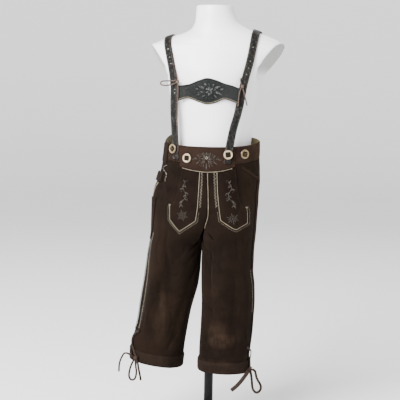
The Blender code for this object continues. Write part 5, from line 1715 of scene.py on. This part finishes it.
def petal(x, z, turn, length, half):
    """Satin-stitched petal: its width swells as a sine along its own direction."""
    t = np.linspace(0, 1, 12)
    line = np.array([x, z]) + t[:, None] * length * heading(turn)
    return satin(line, 0.5 + 2 * half * np.sin(pi * t) ** 0.8)


def spiral(x, z, turn, length, curl, width=1.1):
    """Satin-stitched tendril: its direction turns by `curl` degrees, faster towards its tip."""
    t = np.linspace(0, 1, 30)
    ahead = np.radians(turn + curl * t ** 1.6)
    step = length / 29
    line = np.array([x, z]) + np.concatenate([[(0, 0)], np.cumsum(
        step * joined(np.cos(ahead), np.sin(ahead)), axis=0)[:-1]])
    return satin(line, width * (1 - 0.55 * t))


def mirrored(pairs, x):
    """The same stitches on both sides of an upright line at x."""
    return pairs + [tuple(joined(2 * x - p[:, 0], p[:, 1]) for p in pair) for pair in pairs]


ORNAMENT = (2.5, 640.0)     # middle of the drop front's ornament


def band_ornament(silver, bright):
    """Scrolls, leaves and a small open diamond on the drop front's band, the same on both sides."""
    x, z = ORNAMENT
    half = [petal(x + 2.5, z + 2, 62, 10, 1.4), petal(x + 3.0, z - 1.5, -42, 9, 1.4),
            petal(x + 3.5, z + 0.5, 14, 8, 1.3), spiral(x + 6, z + 4, 48, 17, -230),
            spiral(x + 8, z - 2, -30, 17, 240), spiral(x + 4, z - 6, -62, 14, 220),
            spiral(x + 10, z + 1, 10, 19, 200, 0.8), petal(x + 15, z + 5, 40, 8, 0.9),
            petal(x + 17, z - 5, -40, 8, 0.9), petal(x + 21, z + 1, 8, 8, 0.9),
            spiral(x + 1.5, z + 9, 70, 13, -210, 0.8), petal(x + 9, z + 10, 100, 6, 0.8),
            petal(x + 6, z - 11, -80, 6, 0.8), spiral(x + 22, z + 3, 60, 10, -260, 0.7),
            spiral(x + 13, z + 8, 120, 12, -250, 0.7), spiral(x + 12, z - 8, -120, 12, 250, 0.7),
            spiral(x + 6, z + 9, 100, 12, 230, 0.8), spiral(x + 16, z - 2, -60, 12, -240, 0.8),
            spiral(x + 18, z + 6, 100, 11, 220, 0.8), petal(x + 27, z, 0, 6, 0.8)]
    pairs = mirrored(half, x)
    pairs += [petal(x, z - 8, -90, 14, 1.1), petal(x, z + 10, 90, 7, 0.9)]
    lift = LIFT["flap_band"] + APPLIQUE + 0.12
    sewn_front("band_ornament", pairs, lift, silver, SILK, 0.4)
    t = np.linspace(0, 2 * pi, 5)
    diamond = joined(x + 2.6 * np.sin(t), z + 4.0 + 3.4 * np.cos(t))
    pairs = [satin(diamond, 1.6, 0.6, 0.2)]
    sewn_front("band_ornament_diamond", pairs, lift + 0.3, bright, 0.3, 0.4)


# Vines on the leaves: top of the vine and middle of the rosette, both as x and z.
VINES = {"right": (-44.0, 588.0, -50.5, 513.5), "left": (52.0, 590.0, 62.0, 509.0)}
ROSETTE_PETALS = 12


def leaf_vine(side, silver):
    """A wavy stem with leaves and curled ends, and a rosette of petals under it."""
    x0, z0, cx, cz = VINES[side]
    hand = SIDES[side]
    t = np.linspace(0, 1, 50)
    lean = (cx - x0) * 0.8
    stem = joined(x0 + lean * t + hand * 4.6 * np.sin(2.6 * pi * t), z0 - 52.0 * t)
    pairs = [satin(stem, 0.8 + 0.7 * np.sin(2.6 * pi * t) ** 2)]
    for at, turn, length, half in ((0.03, 60, 7, 0.8), (0.16, -150, 8, 0.9), (0.27, -20, 8, 0.9),
                                   (0.44, 200, 8, 0.9), (0.55, -40, 8, 0.9), (0.70, 215, 8, 0.9),
                                   (0.82, -30, 8, 0.9), (0.96, 230, 7, 0.8), (0.98, -60, 7, 0.8)):
        k = int(at * 49)
        turn = turn if hand > 0 else 180 - turn
        pairs.append(petal(stem[k, 0], stem[k, 1], turn, length, half))
    for at, turn, curl in ((0.0, 100, 250), (0.1, 200, 240), (0.34, 20, -240), (0.5, 160, 250),
                           (0.66, 170, 240), (0.78, 10, -250), (0.9, -10, -230)):
        k = int(at * 49)
        turn, curl = (turn, curl) if hand > 0 else (180 - turn, -curl)
        pairs.append(spiral(stem[k, 0], stem[k, 1], turn, 12, curl, 0.8))
    for k in range(ROSETTE_PETALS):
        turn = 360.0 * k / ROSETTE_PETALS + 12
        c, s = heading(turn)
        pairs.append(petal(cx + 3.4 * c, cz + 3.4 * s, turn, 6.0 + 3.6 * (k % 2), 0.4))
    ring = np.linspace(0, 2 * pi, 16)
    ring = joined(cx + 1.4 * np.cos(ring), cz + 1.4 * np.sin(ring))
    pairs.append(satin(ring, 0.9))
    lift = LIFT["leaf"] + APPLIQUE + 0.5
    sewn_front("leaf_" + side + "_embroidery", pairs, lift, silver, SILK, 0.4)


STAR_ARM = 3.4


def star(x, z):
    """Four crossed stitches through one point."""
    turn = circle(8)[:4]
    way = STAR_ARM * joined(np.cos(turn), np.sin(turn))
    return np.array([x, z]) - way, np.array([x, z]) + way


def front_sewing(cream, silver, brown):
    """Rows of stitches round and on the leaves and along the drop front, and a star at each corner."""
    flush = 0.25
    for side, hand in SIDES.items():
        edge = leaf_edge(side)
        zigzag = joined(edge[:9, 0] - hand * ZIGZAG_OUT, edge[:9, 1])
        pairs = [stitch_row(moved_out(edge[9:], hand * OUTLINE_OUT), 3.4, 0.55)]
        sewn_front("leaf_" + side + "_outline", pairs, flush, cream, 0.32)
        sewn_front("leaf_" + side + "_zigzag", [zigzag_row(zigzag, ZIGZAG_PITCH, 2.3)], flush, cream, 0.34)
        x, z = leaf_grid(side, 12, 9)
        inside = np.concatenate([joined(x[:, 0] + hand * SEAM_IN, z[:, 0])[1:-1],
                                 joined(x[-1, 1:-1], z[-1, 1:-1] + SEAM_IN + 0.4),
                                 joined(x[:, -1] - hand * SEAM_IN, z[:, -1])[::-1][1:]])
        lift = LIFT["leaf"] + APPLIQUE * 0.75
        sewn_front("leaf_" + side + "_seam", [stitch_row(inside, SEAM_PITCH)], lift, brown, SEAM_THREAD)
        corner = (x[-4, -1] + hand * 2.0, z[-4, -1] + 2.0)
        sewn_front("leaf_" + side + "_star", [star(*corner)], flush + 0.4, cream, 0.28)
    x = np.linspace(FLAP_EDGE["right"] + SEAM_IN, FLAP_EDGE["left"] - SEAM_IN, 60)
    low = flap_low(x)
    upper = LIFT["flap_band"] + APPLIQUE * 0.8
    pairs = [stitch_row(joined(x, low + SEAM_IN), SEAM_PITCH)]
    top_z = np.linspace(FLAP_TOP - SEAM_IN, FLAP_TOP - 40, 20)
    for edge_x in (x[0], x[-1]):
        pairs.append(stitch_row(joined(edge_x, top_z), SEAM_PITCH))
    sewn_front("flap_band_seam", pairs, upper, brown, SEAM_THREAD)


# The legs' zigzags: angle, upper and lower end. They run on the front of the outer seams.
ZIGZAGS = {"right": (-37.0, 466.0, 232.0), "left": (-15.0, 386.0, 286.0)}
BACK_ROW = np.linspace(600, 240, 100)        # rows of the stitches behind the outer seams


def leg_sewing(cream, brown):
    """Zigzags on the outer seams, and plain rows behind them, along the hems and the waistband."""
    for side in SIDES:
        far = float(seam_angle(side, HEM[side])) - 2
        seam = float(side_seam(side, HEM[side]))
        height = HEM[side] + HEM_BAND - HEM_SEAM
        pairs = [stitch_row(joined(np.linspace(*ends, 60), height), LONG_PITCH)
                 for ends in ((-far, seam - 6), (seam + 6, far))]
        lift = LIFT["hem_band"] + APPLIQUE * 0.85
        sewn_side("hem_" + side + "_seam", side, pairs, lift, brown, SEAM_THREAD)
        for name, height in (("upper", WAIST_TOP - WAIST_SEAMS[0]), ("lower", WAIST_SEAM + WAIST_SEAMS[1])):
            row = [stitch_row(joined(np.linspace(-85, 85, 120), height), 2.0)]
            sewn_side(f"waistband_{side}_{name}_seam", side, row, 0.0, brown, SEAM_THREAD)
        turn, top, end = ZIGZAGS[side]
        line = joined(turn, np.linspace(top, end, 60))
        sewn_side(f"side_{side}_zigzag", side, [zigzag_row(line, ZIGZAG_PITCH, 2.2)], 0.3, cream, 0.34)
    for side in SIDES:
        row = [stitch_row(joined(side_seam(side, BACK_ROW) + 5.5, BACK_ROW), LONG_PITCH)]
        sewn_side(f"side_{side}_back_row", side, row, 0.2, brown, SEAM_THREAD)


# ---------------- settings
def colour_of(name, place, colour):
    return FloatVectorProperty(name=name, description="Colour of " + place, default=colour,
                               subtype="COLOR", size=3, min=0.0, max=1.0)


class ClothSettings(bpy.types.PropertyGroup):
    suede: colour_of("Suede", "the leg panels and leaves", (0.0051, 0.0031, 0.0022))
    band: colour_of("Band", "the waistband and drop front", (0.0118, 0.0069, 0.0050))
    hem: colour_of("Hem bands", "the bands round the knees", (0.0078, 0.0050, 0.0037))
    worn: colour_of("Worn suede", "the nap where it is rubbed pale", (0.0178, 0.0112, 0.0071))
    warm: colour_of("Faded suede", "the warmer clouds in the suede", (0.0078, 0.0046, 0.0030))
    lining: colour_of("Waist lining", "the waistband's inside", (0.16, 0.14, 0.085))
    piping: colour_of("Piping", "the cream leather piping", (0.20, 0.165, 0.11))
    thread: colour_of("Cream thread", "the decorative stitches", (0.26, 0.235, 0.18))
    silver: colour_of("Embroidery", "the embroidery thread", (0.066, 0.058, 0.049))
    brown: colour_of("Brown thread", "the plain seams", (0.009, 0.006, 0.0045))


class LeatherSettings(bpy.types.PropertyGroup):
    strap: colour_of("Braces", "the brace leather", (0.0029, 0.0032, 0.0030))
    tan: colour_of("Faded braces", "the braces' ends and shoulders", (0.0038, 0.0034, 0.0029))
    chest: colour_of("Chest strap", "the embossed strap", (0.0038, 0.0047, 0.0043))
    edge: colour_of("Cut edge", "the straps' raw edges", (0.050, 0.031, 0.021))
    lace: colour_of("Leg laces", "the laces at the knees", (0.0155, 0.0085, 0.0056))
    thong: colour_of("Thongs", "the thongs on the braces", (0.058, 0.041, 0.032))
    pale: colour_of("Hip lace", "the lace at the hip", (0.13, 0.125, 0.115))
    horn: colour_of("Horn", "the buttons", (0.35, 0.28, 0.165))
    yellow: colour_of("Yellow horn", "the two outer buttons", (0.17, 0.118, 0.042))
    rim: colour_of("Horn rim", "the buttons' worn rims", (0.045, 0.026, 0.012))
    inlay: colour_of("Inlay", "the buttons' square inlays", (0.0075, 0.0046, 0.0032))
    golden: colour_of("Golden thread", "the outer buttons' thread", (0.075, 0.045, 0.014))
    nickel: colour_of("Eyelets", "the eyelets", (0.26, 0.25, 0.23))


class StageSettings(bpy.types.PropertyGroup):
    form: colour_of("Form", "the moulded form", (0.80, 0.80, 0.81))
    # painted shade: the grey of the arm cuts stands for the shade on their faces
    cut: colour_of("Arm cuts", "the form's flat arm cuts", (0.33, 0.325, 0.32))
    steel: colour_of("Stand", "the pole and foot", (0.0035, 0.0035, 0.004))
    floor: colour_of("Floor", "the floor and wall", (0.90, 0.90, 0.90))
    sky: FloatProperty(name="Sky", description="Strength of the even light", default=0.8, min=0.0)
    key: FloatProperty(name="Key light", description="Power of the large front light", default=520.0,
                       min=0.0, unit="POWER")
    fill: FloatProperty(name="Side lights", description="Power of the side lights", default=25.0,
                        min=0.0, unit="POWER")


# ---------------- operators
class GARMENT_OT_stage(bpy.types.Operator):
    """Make the camera, the pale floor with its wall, and soft studio light"""
    bl_idname = "garment.stage"
    bl_label = "Stage"

    def execute(self, context):
        stage = context.scene.garment_stage
        aim_camera()
        studio(stage.floor, stage.sky)
        soft_light("key", (-1.4, -2.8, 2.4), (2.2, 2.2), stage.key)
        soft_light("side_left", (2.8, -1.0, 1.2), (1.6, 2.4), stage.fill)
        soft_light("side_right", (-2.8, -0.4, 1.4), (1.6, 2.4), stage.fill)
        soft_light("top_back", (0.4, 2.2, 2.8), (2.4, 1.6), stage.fill * 1.6)
        return {"FINISHED"}


class GARMENT_OT_laces(bpy.types.Operator):
    """Tie the leg laces, the brace thongs, the hip lace and their knots"""
    bl_idname = "garment.laces"
    bl_label = "Laces and thongs"

    def execute(self, context):
        leather = context.scene.garment_leather
        lace = thong_finish("lace_leather", leather.lace, grown(leather.lace, 2.2))
        thong = thong_finish("thong_leather", leather.thong, grown(leather.thong, 1.8))
        pale = speckled_finish("hip_lace_leather", leather.pale, grown(leather.lace, 1.2))
        laces(lace, thong, pale)
        return {"FINISHED"}


class GARMENT_OT_breeches(bpy.types.Operator):
    """Cut the four leg panels with their creases, the waistband and the hem bands"""
    bl_idname = "garment.breeches"
    bl_label = "Breeches"

    def execute(self, context):
        cloth = context.scene.garment_cloth
        suede = suede_finish("leg_suede", cloth.suede, cloth.worn, cloth.warm)
        band = suede_finish("waist_suede", cloth.band, cloth.worn, grown(cloth.band, 1.2))
        hem = suede_finish("hem_suede", cloth.hem, cloth.worn, grown(cloth.hem, 1.2))
        lining = suede_finish("waist_lining", cloth.lining, grown(cloth.lining, 1.3),
                              grown(cloth.lining, 0.8))
        for side in SIDES:
            waist_half(side, [band, lining])
            hem_half(side, hem)
            for face in FACES:
                panel(side, face, suede)
        return {"FINISHED"}


class GARMENT_OT_drop_front(bpy.types.Operator):
    """Lay the drop front's band and the two leaves on the panels, with their piping"""
    bl_idname = "garment.drop_front"
    bl_label = "Drop front"

    def execute(self, context):
        cloth = context.scene.garment_cloth
        flap_front(bpy.data.materials["waist_suede"])
        for side in SIDES:
            leaf(side, bpy.data.materials["leg_suede"])
        front_pipings(piping_finish("cream_piping", cloth.piping))
        return {"FINISHED"}


class GARMENT_OT_sides(bpy.types.Operator):
    """Sew on the pockets, the hip tab and the welts over the outer seams"""
    bl_idname = "garment.sides"
    bl_label = "Pockets and side seams"

    def execute(self, context):
        side_pieces(bpy.data.materials["leg_suede"], bpy.data.materials["hem_suede"],
                    bpy.data.materials["cream_piping"])
        return {"FINISHED"}


class GARMENT_OT_sewing(bpy.types.Operator):
    """Stitch the seams, the zigzags and the embroidery"""
    bl_idname = "garment.sewing"
    bl_label = "Sewing and embroidery"

    def execute(self, context):
        cloth = context.scene.garment_cloth
        cream = thread_finish("cream_thread", cloth.thread, grown(cloth.thread, 0.5))
        silver = thread_finish("silver_thread", cloth.silver, grown(cloth.silver, 0.45))
        brown = thread_finish("brown_thread", cloth.brown, grown(cloth.brown, 0.6))
        front_sewing(cream, silver, brown)
        leg_sewing(cream, brown)
        band_ornament(silver, cream)
        for side in SIDES:
            leaf_vine(side, silver)
        return {"FINISHED"}


class GARMENT_OT_braces(bpy.types.Operator):
    """Lay the two braces over the shoulders, with the chest strap and the eyelets"""
    bl_idname = "garment.braces"
    bl_label = "Braces"

    def execute(self, context):
        leather = context.scene.garment_leather
        strap = strap_finish("strap_leather", leather.strap, leather.tan, leather.edge)
        for side in SIDES:
            brace(side, strap)
        plate = chest_finish("chest_leather", leather.chest, leather.edge)
        chest_strap(plate, bpy.data.materials["cream_piping"])
        eyelets(eyelet_finish("nickel", leather.nickel))
        return {"FINISHED"}


class GARMENT_OT_buttons(bpy.types.Operator):
    """Turn the horn buttons and set their dark square inlays"""
    bl_idname = "garment.buttons"
    bl_label = "Buttons"

    def execute(self, context):
        leather = context.scene.garment_leather
        horn = horn_finish("horn", leather.horn, leather.rim)
        yellow = horn_finish("yellow_horn", leather.yellow, leather.rim)
        inlay = inlay_finish("button_inlay", leather.inlay)
        golden = thread_finish("golden_thread", leather.golden, grown(leather.golden, 0.6))
        buttons(horn, yellow, inlay, golden, bpy.data.materials["brown_thread"])
        return {"FINISHED"}


class GARMENT_OT_form(bpy.types.Operator):
    """Mould the limbless form and set it on its pole and round foot"""
    bl_idname = "garment.form"
    bl_label = "Form and stand"

    def execute(self, context):
        stage = context.scene.garment_stage
        cut = arm_cut_shade_finish("form_cut", stage.cut, stage.form)
        form_shell([shell_finish("form_shell", stage.form), cut])
        stand_pieces(metal_finish("stand_steel", stage.steel))
        return {"FINISHED"}


STEPS = (GARMENT_OT_stage, GARMENT_OT_laces, GARMENT_OT_breeches, GARMENT_OT_drop_front,
         GARMENT_OT_sides, GARMENT_OT_sewing, GARMENT_OT_braces, GARMENT_OT_buttons, GARMENT_OT_form)
SETTINGS = {"garment_cloth": ClothSettings, "garment_leather": LeatherSettings,
            "garment_stage": StageSettings}


class GARMENT_PT_panel(bpy.types.Panel):
    """Colours, lights and the steps that build the garment"""
    bl_idname = "GARMENT_PT_panel"
    bl_label = "Lederhosen"
    bl_space_type = "VIEW_3D"
    bl_region_type = "UI"
    bl_category = "Lederhosen"

    def draw(self, context):
        for step in STEPS:
            self.layout.operator(step.bl_idname)
        for key, group in SETTINGS.items():
            box = self.layout.box()
            for name in group.__annotations__:
                box.prop(getattr(context.scene, key), name)


def register():
    for group in SETTINGS.values():
        bpy.utils.register_class(group)
    for key, group in SETTINGS.items():
        setattr(bpy.types.Scene, key, PointerProperty(type=group))
    for step in (*STEPS, GARMENT_PT_panel):
        bpy.utils.register_class(step)


def unregister():
    for step in reversed((*STEPS, GARMENT_PT_panel)):
        bpy.utils.unregister_class(step)
    for key in SETTINGS:
        delattr(bpy.types.Scene, key)
    for group in reversed(SETTINGS.values()):
        bpy.utils.unregister_class(group)


def main():
    register()
    for step in STEPS:
        family, name = step.bl_idname.split(".")
        getattr(getattr(bpy.ops, family), name)()


if __name__ == "__main__":
    main()
